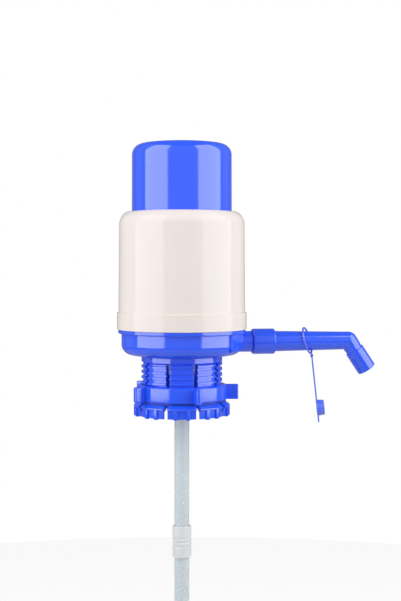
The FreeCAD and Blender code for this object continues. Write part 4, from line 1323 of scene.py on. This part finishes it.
@dataclass
class Spout(SubAssembly):
    """Coupling, bent tube and nozzle, in millimetres."""

    axis: float = 13.6  # Height of the level tube's axis
    coupling: Quad = (55.2, 73.2, 9.95, 1.4)  # Start, end, outside and rounding of the coupling
    coupling_bore: float = 6.08  # Radius of its bore on the port's pipe
    # Middle and half width of its snap bead, and the bead's bore and ramp
    bead: Quad = (56.6, 0.6, 5.58, 0.3)
    root: Pair = (66.4, 8.0)  # Start and radius of the tube in the coupling
    bend: Pair = (133.3, 7.05)  # Place and radius of the bend
    straight: float = 4.0  # How far beside the bend the tube keeps one radius
    drop: float = 56.5  # Degrees that the lower leg points below level
    tip: Trio = (6.6, 9.0, 15.5)  # Radius of the leg's end, and where along the leg it starts and stops
    water: float = 4.6  # Radius of the bore
    sink: float = 0.4  # Depth of the cones that lead into the bore
    # Outside, mouth, start and end of the sleeve on the tip, along the leg
    nozzle: Quad = (7.55, 6.15, 9.0, 27.5)
    nozzle_round: float = 1.2  # Rounding of the sleeve's mouth
    body: ClassVar[str] = "spout"

    def along_leg(self, distance: float) -> Vector:
        """Way along the lower leg, in millimetres."""
        angle = math.radians(self.drop)
        return Vector((math.cos(angle), 0.0, -math.sin(angle))) * distance

    def corner(self) -> Vector:
        """Place of the bend, in millimetres."""
        return Vector((self.bend[0], 0.0, self.axis))

    def bent_skin(self, name: str, level: Sequence[Station], leg: Sequence[Station]) -> Piece:
        """Skin of a tube that runs level to the bend and then down the leg.

        The ring at the bend is spun, which rounds the outside of the bend. Its lower half
        would fold into the tube, so that half is taken out and both runs meet in a mitre.

        Args:
            name: Name of the skin.
            level: Rings from the root to the bend.
            leg: Rings from the bend to the tip.

        Returns:
            The skin, open at both ends.
        """
        bend = self.corner()
        skin = add(
            name, bpy.ops.mesh.primitive_circle_add, vertices=PIPE_SIDES,
            radius=level[0].radius * MM, location=(level[0].place * MM, 0, self.axis * MM),
            rotation=ACROSS,
        )
        begin(skin, "SELECT")
        for here, there in zip(level, level[1:]):
            extrude_along(Vector((there.place - here.place, 0, 0)))
            self.widen(here, there, Vector((there.place, 0, self.axis)))
        bpy.ops.mesh.spin(
            steps=BEND_STEPS, angle=math.radians(self.drop), center=bend * MM, axis=(0, -1, 0)
        )
        for here, there in zip(leg, leg[1:]):
            extrude_along(self.along_leg(there.place - here.place))
            self.widen(here, there, bend + self.along_leg(there.place))
        self.mitre(skin, leg[0].radius)
        clean()
        end()
        return skin

    def widen(self, here: Station, there: Station, centre: Vector) -> None:
        """Resize the selected ring about its centre to the next station's radius."""
        share = there.radius / here.radius
        bpy.ops.transform.resize(value=(share, share, share), center_override=centre * MM)

    def mitre(self, skin: Piece, radius: float) -> None:
        """Take the folded half of the bend out and cut both runs to the mitre plane.

        Args:
            skin: Skin that is open in edit mode.
            radius: Radius of the tube at the bend.
        """
        bend = self.corner() * MM
        half = math.radians(self.drop) / 2
        along = Vector((math.cos(half), 0.0, -math.sin(half)))
        outwards = Vector((math.sin(half), 0.0, math.cos(half)))
        leg = self.along_leg(1.0)

        def folded(face: Any) -> bool:
            """Whether a face of the spun ball lies on the inside of the bend."""
            on_ball = all(abs((v.co - bend).length - radius * MM) < CLOSE * MM for v in face.verts)
            return on_ball and (face.calc_center_median() - bend).dot(outwards) < 0

        bpy.ops.mesh.select_all(action="SELECT")
        bpy.ops.mesh.remove_doubles(threshold=MERGE * MM)
        pick(skin, Pick.FACES, folded)
        bpy.ops.mesh.delete(type="FACE")
        for way, inwards, side in (
            (Vector((-1.0, 0.0, 0.0)), Vector((0.0, 0.0, -1.0)), 1.0),
            (leg, Vector((leg.z, 0.0, -leg.x)), -1.0),
        ):
            def inner_half(face: Any) -> bool:
                """Whether a face lies on the inner side of this run, beside the bend."""
                place = face.calc_center_median() - bend
                return (
                    abs(face.normal.dot(way)) < SAME_WAY and 0 < place.dot(way) < self.straight * MM
                    and place.dot(inwards) > 0
                )

            pick(skin, Pick.FACES, inner_half)
            bpy.ops.mesh.bisect(plane_co=bend, plane_no=along * side, clear_outer=True)

    def build_tube(self) -> Piece:
        """Tapered tube with its short bend.

        Returns:
            The tube with its bore.
        """
        start, root = self.root
        place, radius = self.bend
        tip, tip_start, tip_end = self.tip
        before = Station(place - self.straight, radius)
        level = [Station(start, root), Station(self.coupling[1], root), before, Station(place, radius)]
        leg = [
            Station(0.0, radius), Station(self.straight, radius),
            Station(tip_start, tip), Station(tip_end, tip),
        ]
        outside = self.bent_skin("spout_tube", level, leg)
        level[0] = Station(start + self.sink, root)
        leg[-1] = Station(tip_end - self.sink, tip)
        inside = self.bent_skin(
            "spout_bore", *([Station(s.place, self.water) for s in run] for run in (level, leg))
        )
        tube = join(outside, inside)
        begin(tube)
        pick(tube, Pick.EDGES, lambda e: e.is_boundary and all(v.co.x < place * MM for v in e.verts))
        bpy.ops.mesh.bridge_edge_loops()
        pick(tube, Pick.EDGES, lambda e: e.is_boundary)
        bpy.ops.mesh.bridge_edge_loops()
        clean()
        end()
        return tube

    def build_coupling(self) -> Piece:
        """Sleeve with a snap bead in its bore and a socket for the tube.

        Returns:
            The coupling.
        """
        start, stop, radius, rounding = self.coupling
        root_start, root = self.root
        middle, half, bead, ramp = self.bead
        bore = self.coupling_bore
        sleeve = turn("spout_coupling_moulding", [
            (bore, start), (radius, start, rounding), (radius, stop, rounding),
            (root, stop), (root, root_start), (bore, root_start),
            (bore, middle + half + ramp), (bead, middle + half),
            (bead, middle - half), (bore, middle - half - ramp),
        ], PIPE_SIDES)
        return lay(sleeve, (0, 0, self.axis), 90.0)

    def build_nozzle(self) -> Piece:
        """Sleeve on the tip with a wider mouth.

        Returns:
            The nozzle.
        """
        radius, mouth, start, stop = self.nozzle
        tip, _, tip_end = self.tip
        sleeve = turn("nozzle_sleeve_moulding", [
            (tip, start), (radius, start, EDGE_ROUND), (radius, stop, self.nozzle_round),
            (mouth, stop, FINE_ROUND), (mouth, tip_end), (tip, tip_end),
        ], PIPE_SIDES)
        return lay(sleeve, self.corner(), 90.0 + self.drop)

    def build(self) -> None:
        """Model coupling, tube and nozzle."""
        self.made["spout_coupling"] = self.build_coupling()
        self.made["spout"] = self.build_tube()
        self.made["nozzle_sleeve"] = self.build_nozzle()


# Stopper

STOPPER_EYE = (103.6927, 0.0, 1.8219)  # centre of the pin that the stopper hangs on


@dataclass
class StrapLoop(SubAssembly):
    """Oval loop round the spout with the stopper's pin at its foot, in millimetres."""

    centre: Place = (100.0, 0.0, 13.9)  # Middle of the loop
    half_height: float = 9.9  # Half the height of its opening
    half_width: float = 9.3935  # Half the width of its opening
    thickness: float = 1.0  # Thickness of the loop
    width: float = 1.5  # Width of the loop along the spout
    yaw: float = 24.0  # Degrees that it is turned on its upright axis
    tilt: float = 17.0  # Degrees that its foot then swings out along the spout
    eye: Place = STOPPER_EYE  # Centre of the pin
    pin: Pair = (0.7, 6.0)  # Radius and length of the pin
    pin_yaw: float = 15.0  # Degrees that the pin is turned
    body: ClassVar[str] = "strap_loop"

    def build_hoop(self) -> Piece:
        """Oval hoop, upright across the X axis at the origin.

        Returns:
            The hoop.
        """
        hoop = add(
            "strap_loop_moulding", bpy.ops.mesh.primitive_circle_add, vertices=PIPE_SIDES,
            radius=self.half_height * MM, rotation=ACROSS, location=(-self.width / 2 * MM, 0, 0),
        )
        begin(hoop, "SELECT")
        bpy.ops.transform.resize(
            value=(1, self.half_width / self.half_height, 1), center_override=(0, 0, 0)
        )
        extrude_along(Vector((self.width, 0, 0)))
        clean()
        end()
        modify(hoop, "SOLIDIFY", thickness=self.thickness * MM, offset=1.0, use_even_offset=True)
        return break_edges(hoop, FINE_ROUND)

    def build(self) -> None:
        """Model the hoop, its stalk and the pin."""
        reach = (Vector(self.eye) - Vector(self.centre)).length
        stalk = block(
            "loop_stalk",
            (-self.thickness / 2, -self.width / 2, -reach),
            (self.thickness / 2, self.width / 2, -self.half_height - self.thickness / 2),
            THIN_ROUND,
        )
        hoop = lay(join(self.build_hoop(), stalk), Vector(), yaw=-self.yaw)
        lay(hoop, self.centre, -self.tilt)
        radius, length = self.pin
        pin = turn("loop_pin", [
            (0.0, -length / 2), (radius, -length / 2, THIN_ROUND),
            (radius, length / 2, THIN_ROUND), (0.0, length / 2),
        ], ROD_SIDES)
        self.made["strap_loop"] = join(hoop, lay(pin, self.eye, yaw=-self.pin_yaw, roll=90.0))


@dataclass
class Stopper(SubAssembly):
    """Strap with an eye at its top, the plug near its foot and a pull tab, in millimetres."""

    eye: Place = STOPPER_EYE  # Centre of the pin that it hangs on
    eye_radius: float = 1.2  # Outside of its eye
    eye_bore: float = 0.78  # Radius of the eye's bore
    cheek_gap: float = 2.2  # Width of the opening between the eye's two cheeks
    strap: Pair = (6.0, 1.0)  # Width and thickness of the strap
    strap_drop: float = 0.1  # How far its top lies below the eye's bore
    length: float = 41.4  # From the eye to the plug's middle
    tab: float = 11.6  # Length of the pull tab below that
    lean: float = 6.0  # Degrees that it swings towards the spout's tip
    yaw: float = 15.0  # Degrees that it is turned about the upright
    flange: float = 7.4  # Radius of the plug's flange
    plug: Trio = (6.3, 5.85, 5.0)  # Radius at the root, at the tip, and height of the plug
    wall: float = 1.2  # Thickness of the plug's wall
    body: ClassVar[str] = "stopper"

    def build_strap(self) -> Piece:
        """Flat strap with a rounded end.

        Returns:
            The strap, hanging from the origin.
        """
        width, thickness = self.strap
        bottom = -self.length - self.tab
        strap = block(
            "stopper_moulding",
            (-thickness / 2, -width / 2, bottom),
            (thickness / 2, width / 2, -self.eye_bore - self.strap_drop),
        )
        begin(strap)
        pick(
            strap, Pick.EDGES,
            lambda e: all(v.co.z < (bottom + OVERRUN) * MM for v in e.verts)
            and abs(e.verts[0].co.x - e.verts[1].co.x) > thickness * MM / 2,
        )
        bpy.ops.mesh.bevel(offset=width * ROUND_SHARE * MM, segments=ARC_STEPS[1], affect="EDGES")
        end()
        return break_edges(strap, CUT_ROUND)

    def build_eye(self) -> Piece:
        """Two rings beside the loop's stalk.

        Returns:
            The rings, as one piece.
        """
        half = self.strap[0] / 2
        inner = self.cheek_gap / 2
        cheeks = []
        for foot, top in ((-half, -inner), (inner, half)):
            ring = turn("eye_cheek", [
                (self.eye_bore, foot), (self.eye_radius, foot, THIN_ROUND),
                (self.eye_radius, top, THIN_ROUND), (self.eye_bore, top),
            ], ROD_SIDES)
            cheeks.append(lay(ring, Vector(), roll=90.0))
        return join(*cheeks)

    def build_plug(self) -> Piece:
        """Flange with the hollow plug.

        Returns:
            The plug, in its place on the strap.
        """
        half = self.strap[1] / 2
        root, tip, height = self.plug
        rim = half + height
        plug = turn("plug", [
            (0.0, half + self.wall), (root - self.wall, half + self.wall, EDGE_ROUND),
            (tip - self.wall, rim, CUT_ROUND), (tip, rim, 2 * CUT_ROUND),
            (root, half, CUT_ROUND), (self.flange, half, FINE_ROUND),
            (self.flange, -half, FINE_ROUND), (0.0, -half),
        ], PIPE_SIDES)
        return lay(plug, (0, 0, -self.length), 90.0)

    def build(self) -> None:
        """Model the strap with eye and plug, and hang it on the pin."""
        stopper = join(self.build_strap(), self.build_eye(), self.build_plug())
        self.made["stopper"] = lay(stopper, self.eye, -self.lean, -self.yaw)


# Dip tube


@dataclass
class DipTube(SubAssembly):
    """Three lengths of tube with their joiners and the foot, in millimetres."""

    radius: float = 5.8  # Outside of the tube
    bore: float = 4.6  # Radius of its bore
    tops: tuple[float, ...] = (9.0, -142.0, -293.0)  # Height of the top of each length
    length: float = 150.0  # Length of each
    joiner: Trio = (7.35, 5.85, 24.0)  # Outside, bore and length of a joiner
    stop: float = 1.0  # Thickness of the stop in a joiner
    grip: Trio = (0.35, 0.7, 3.2)  # Depth, half width and spacing of the grooves round a joiner
    foot: Trio = (-429.0, -455.0, -443.0)  # Top and bottom of the foot, and the height of its stop
    foot_grip: float = 7.0  # How far below its top the middle of its grooves lies
    notch: Pair = (4.0, 7.0)  # Width and height of the foot's notches
    names: ClassVar[tuple[str, ...]] = ("upper", "middle", "lower")

    def build_length(self, name: str, top: float) -> Piece:
        """One length of tube.

        Args:
            name: Which length it is.
            top: Height of its top.

        Returns:
            The length.
        """
        foot = top - self.length
        ends = ((self.bore, foot), (self.radius, foot), (self.radius, top), (self.bore, top))
        return turn(f"dip_tube_{name}_cut", [(*place, CUT_ROUND) for place in ends], PIPE_SIDES)

    def grooves(self, radius: float, middle: float) -> Outline:
        """Draw three grip grooves up a sleeve's side.

        Args:
            radius: Outside of the sleeve.
            middle: Height of the middle groove.

        Returns:
            Their corners, from the lowest up.
        """
        depth, half, spacing = self.grip
        corners = []
        for step in (-1, 0, 1):
            place = middle + step * spacing
            corners += [
                (radius, place - half), (radius - depth, place - half / 2),
                (radius - depth, place + half / 2), (radius, place + half),
            ]
        return corners

    def build_joiner(self, name: str, upper_end: float) -> Piece:
        """Sleeve over two tube ends, with a stop between them.

        Args:
            name: Which joiner it is.
            upper_end: Height of the upper length's lower end.

        Returns:
            The joiner.
        """
        radius, socket, length = self.joiner
        low = upper_end - self.stop
        middle = (upper_end + low) / 2
        foot, top = middle - length / 2, middle + length / 2
        return turn(f"tube_joiner_{name}_moulding", [
            (socket, foot, CUT_ROUND), (radius, foot, EDGE_ROUND),
            *self.grooves(radius, middle),
            (radius, top, EDGE_ROUND), (socket, top, CUT_ROUND),
            (socket, upper_end), (self.bore, upper_end), (self.bore, low),
            (socket, low),
        ], PIPE_SIDES)

    def build_foot(self) -> Piece:
        """Notched sleeve on the lower end.

        Returns:
            The foot.
        """
        radius, socket, _ = self.joiner
        top, bottom, stop = self.foot
        width, height = self.notch
        sleeve = turn("tube_foot_moulding", [
            (self.bore, bottom, CUT_ROUND), (radius, bottom, EDGE_ROUND),
            *self.grooves(radius, top - self.foot_grip),
            (radius, top, EDGE_ROUND), (socket, top, CUT_ROUND),
            (socket, stop), (self.bore, stop),
        ], PIPE_SIDES)
        reach = radius + OVERRUN
        notch = block(
            "notch",
            (-reach, -width / 2, bottom - OVERRUN),
            (reach, width / 2, bottom + height),
        )
        spin(sleeve, SLOT_CLEAR)
        cut(sleeve, copy_of(notch))
        return break_edges(cut(sleeve, spin(notch, 90.0)), EDGE_BREAK)

    def build(self) -> None:
        """Model the lengths, the joiners between them and the foot."""
        for name, top in zip(self.names, self.tops):
            self.made[f"dip_tube_{name}"] = self.build_length(name, top)
        for name, top in zip(("upper", "lower"), self.tops):
            self.made[f"tube_joiner_{name}"] = self.build_joiner(name, top - self.length)
        self.made["tube_foot"] = self.build_foot()


# Bellows


@dataclass
class Bellows(SubAssembly):
    """Rubber bellows and the return spring in it, in millimetres."""

    root: float = 29.0  # Radius of the folds' valleys
    fold: float = 34.5  # Radius of the folds' ridges
    wall: float = 1.2  # Thickness of the rubber
    neck: float = 5.6  # Straight length before the first and after the last fold
    fold_count: int = 12  # Number of folds
    fold_round: float = 0.8  # Rounding of the folds
    foot_flange: Trio = (45.8, 25.0, 27.0)  # Radius, foot and top of the lower flange
    head_flange: Trio = (36.4, 150.9, 152.9)  # Radius, foot and top of the upper flange
    coil: Pair = (22.0, 1.0)  # Radius and wire radius of the spring
    coil_turns: float = 9.0  # Number of its turns
    coil_play: float = 0.05  # Gap between the coil's ends and the plates

    def build_sleeve(self) -> Piece:
        """Folded sleeve with a flange at each end.

        Returns:
            The bellows.
        """
        foot_radius, foot, foot_top = self.foot_flange
        head_radius, head_foot, head = self.head_flange
        low, high = foot_top + self.neck, head_foot - self.neck
        half = (high - low) / self.fold_count / 2
        steps = range(2 * self.fold_count + 1)
        outer = [
            (self.fold if i % 2 else self.root, low + i * half, self.fold_round) for i in steps
        ]
        inner = [(radius - self.wall, height, rounding) for radius, height, rounding in outer]
        bore = self.root - self.wall
        return turn("bellows_moulding", [
            (bore, foot), (foot_radius, foot), (foot_radius, foot_top),
            (self.root, foot_top, EDGE_ROUND), *outer, (self.root, head_foot, EDGE_ROUND),
            (head_radius, head_foot), (head_radius, head), (bore, head), *inner[::-1],
        ])

    def build_coil(self) -> Piece:
        """Return spring, wound from round wire.

        Returns:
            The spring.
        """
        radius, wire = self.coil
        low = self.foot_flange[1] + wire + self.coil_play
        high = self.head_flange[2] - wire - self.coil_play
        coil = add(
            "return_spring_coil", bpy.ops.mesh.primitive_circle_add, vertices=WIRE_SIDES,
            radius=wire * MM, fill_type="NGON", location=(radius * MM, 0, low * MM), rotation=UPRIGHT,
        )
        return wind(coil, (high - low) / self.coil_turns, self.coil_turns, 0.0)

    def build(self) -> None:
        """Model the bellows and the spring."""
        self.made["bellows"] = self.build_sleeve()
        self.made["return_spring"] = self.build_coil()

    def dress(self) -> None:
        """Shade and finish both pieces, and keep their places in their meshes."""
        for node, piece in self.made.items():
            shade(piece)
            stand_for(piece, node)
            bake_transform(piece)


# Studio


@dataclass(frozen=True)
class Softbox:
    """Softbox that stands upright and faces the pump's axis."""

    name: str  # Name of the lamp
    azimuth: float  # Degrees between the camera and its middle, to the right as the camera sees it
    width_mm: float  # Width
    height_mm: float = 2250.0  # Height
    centre_mm: float = 925.0  # Height of its middle
    distance_mm: float = 1200.0  # From the pump's axis
    watts_per_m2: float = 9.5  # Power for each square metre of it
    in_gloss: bool = True  # Whether glossy pieces mirror it

    def hang(self, front: float) -> None:
        """Hang the lamp.

        Args:
            front: Degrees of the camera's side of the scene.
        """
        light = bpy.data.lights.new(self.name, "AREA")
        light.shape = "RECTANGLE"
        light.size = self.width_mm * MM
        light.size_y = self.height_mm * MM
        light.energy = self.watts_per_m2 * light.size * light.size_y
        angle = math.radians(front + self.azimuth)
        place = Vector((math.sin(angle), -math.cos(angle), 0)) * self.distance_mm * MM
        place.z = self.centre_mm * MM
        box = bpy.data.objects.new(self.name, light)
        box.location = place
        box.rotation_euler = (math.radians(90), 0, angle)
        box.visible_camera = False
        box.visible_glossy = self.in_gloss
        bpy.context.scene.collection.objects.link(box)


@dataclass
class Studio:
    """Floor, world, lamps and camera."""

    camera_distance_mm: float = 905.0  # From the pump's axis to the camera
    camera_height_mm: float = 75.0  # Height of the level camera
    camera_azimuth: float = -7.0  # Degrees that the camera stands to the spout's far side of -Y
    yaw: float = 0.92  # Degrees that the camera turns so that the spout comes into the frame
    lens: float = 69.5  # Focal length in millimetres
    sensor_mm: float = 36.0  # Size of the sensor's longer side
    horizon_shift: float = 0.062  # Share of the frame's height that the horizon lies above its middle
    near_mm: float = 10.0  # Distance from which the camera sees
    softboxes: tuple[Softbox, ...] = (  # Lamps round the object
        Softbox("softbox_left", azimuth=-61.8, width_mm=1370.0),
        Softbox("softbox_right", azimuth=67.8, width_mm=1425.0),
        Softbox(
            "fill_front", azimuth=2.0, width_mm=2000.0, height_mm=2190.0, centre_mm=955.0,
            distance_mm=1500.0, watts_per_m2=1.1,
        ),
        Softbox("fill_left", azimuth=-112.0, width_mm=600.0, watts_per_m2=0.7),
        Softbox("fill_right", azimuth=117.0, width_mm=600.0, watts_per_m2=0.7),
        Softbox("fill_back", azimuth=180.0, width_mm=1500.0, watts_per_m2=4.2, in_gloss=False),
    )
    world_strength: float = 0.1  # Light from all round
    gloss_share: float = 0.15  # How much of the white background shows in gloss
    floor_gap_mm: float = 2.0  # Floor below the lowest point of the object
    floor_radius_mm: float = 1350.0  # Radius of the floor
    floor_colour: str = "#bcbcbc"  # sRGB hex colour of the floor
    # How much of the white background the floor shows; the rest keeps the shadow
    floor_white: float = 0.93

    def background_share(self, tree: bpy.types.NodeTree) -> bpy.types.NodeSocket:
        """Add the share of a ray that sees the plain white background.

        Args:
            tree: Tree that the nodes go into.

        Returns:
            One for rays to the camera and through clear pieces, the gloss share for reflections.
        """
        path = add_node(tree, "ShaderNodeLightPath")
        in_gloss = add_node(
            tree, "ShaderNodeMath", {"operation": "MULTIPLY"},
            {0: path.outputs["Is Glossy Ray"], 1: self.gloss_share},
        )
        share = in_gloss.outputs["Value"]
        for name in ("Is Camera Ray", "Is Transmission Ray"):
            share = add_node(
                tree, "ShaderNodeMath", {"operation": "MAXIMUM"}, {0: share, 1: path.outputs[name]}
            ).outputs["Value"]
        return share

    def light_world(self) -> None:
        """Give the world a white background and a plain level of light."""
        world = bpy.data.worlds.new("studio_white")
        world.use_nodes = True
        tree = world.node_tree
        tree.nodes.clear()
        strength = add_node(
            tree, "ShaderNodeMapRange", None,
            {"Value": self.background_share(tree), "To Min": self.world_strength, "To Max": 1.0},
        )
        white = add_node(
            tree, "ShaderNodeBackground", None,
            {"Color": (1.0, 1.0, 1.0, 1.0), "Strength": strength.outputs["Result"]},
        )
        add_node(tree, "ShaderNodeOutputWorld", None, {"Surface": white.outputs["Background"]})
        bpy.context.scene.world = world

    def lay_floor(self) -> None:
        """Lay a round pale table top under the object."""
        floor = add(
            "studio_floor", bpy.ops.mesh.primitive_circle_add, vertices=TURN_SIDES,
            radius=self.floor_radius_mm * MM, fill_type="NGON",
            location=(0, 0, CAD_BOUNDS[0][2] - self.floor_gap_mm * MM),
        )
        made = bpy.data.materials.new("floor_pale_matt")
        made.use_nodes = True
        tree = made.node_tree
        tree.nodes.clear()
        matt = add_node(tree, "ShaderNodeBsdfDiffuse", None, {"Color": linear(self.floor_colour)})
        glow = add_node(tree, "ShaderNodeEmission", None, {"Strength": 1.0})
        share = add_node(
            tree, "ShaderNodeMath", {"operation": "MULTIPLY"},
            {0: self.background_share(tree), 1: self.floor_white},
        )
        mix = add_node(
            tree, "ShaderNodeMixShader", None,
            {0: share.outputs["Value"], 1: matt.outputs["BSDF"], 2: glow.outputs["Emission"]},
        )
        add_node(tree, "ShaderNodeOutputMaterial", None, {"Surface": mix.outputs["Shader"]})
        floor.data.materials.append(made)

    def set_camera(self) -> None:
        """Set a level camera that looks at the pump from its front."""
        data = bpy.data.cameras.new("camera")
        data.lens = self.lens
        data.sensor_width = self.sensor_mm
        data.shift_y = -self.horizon_shift
        data.clip_start = self.near_mm * MM
        camera = bpy.data.objects.new("camera", data)
        angle = math.radians(self.camera_azimuth)
        place = Vector((math.sin(angle), -math.cos(angle), 0)) * self.camera_distance_mm * MM
        place.z = self.camera_height_mm * MM
        camera.location = place
        camera.rotation_euler = (math.radians(90), 0, math.radians(self.camera_azimuth - self.yaw))
        bpy.context.scene.collection.objects.link(camera)
        bpy.context.scene.camera = camera

    def build(self) -> None:
        """Set up the whole studio."""
        bpy.context.scene.view_settings.view_transform = "Standard"
        self.light_world()
        self.lay_floor()
        for softbox in self.softboxes:
            softbox.hang(self.camera_azimuth)
        self.set_camera()


def dress_packed_nodes(covered: set[str]) -> None:
    """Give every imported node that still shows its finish.

    Args:
        covered: Names of the nodes that modelled pieces stand for.
    """
    for name in sorted(NODE_FINISHES.keys() - covered):
        paint(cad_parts[name], name)
        LOG.info("%s: packed node with its finish", name)


def main() -> None:
    """Build the studio, and model and dress the pump."""
    logging.basicConfig(level=logging.INFO, format="%(message)s")
    Studio().build()
    covered: set[str] = set()
    for group in (
        PressCap(), OuterShell(), BaseBowl(), Collar(), ClampNut(), Spout(), StrapLoop(), Stopper(),
        DipTube(), Bellows(),
    ):
        group.build()
        group.dress()
        covered |= group.made.keys()
    dress_packed_nodes(covered)


if __name__ == "__main__":
    main()
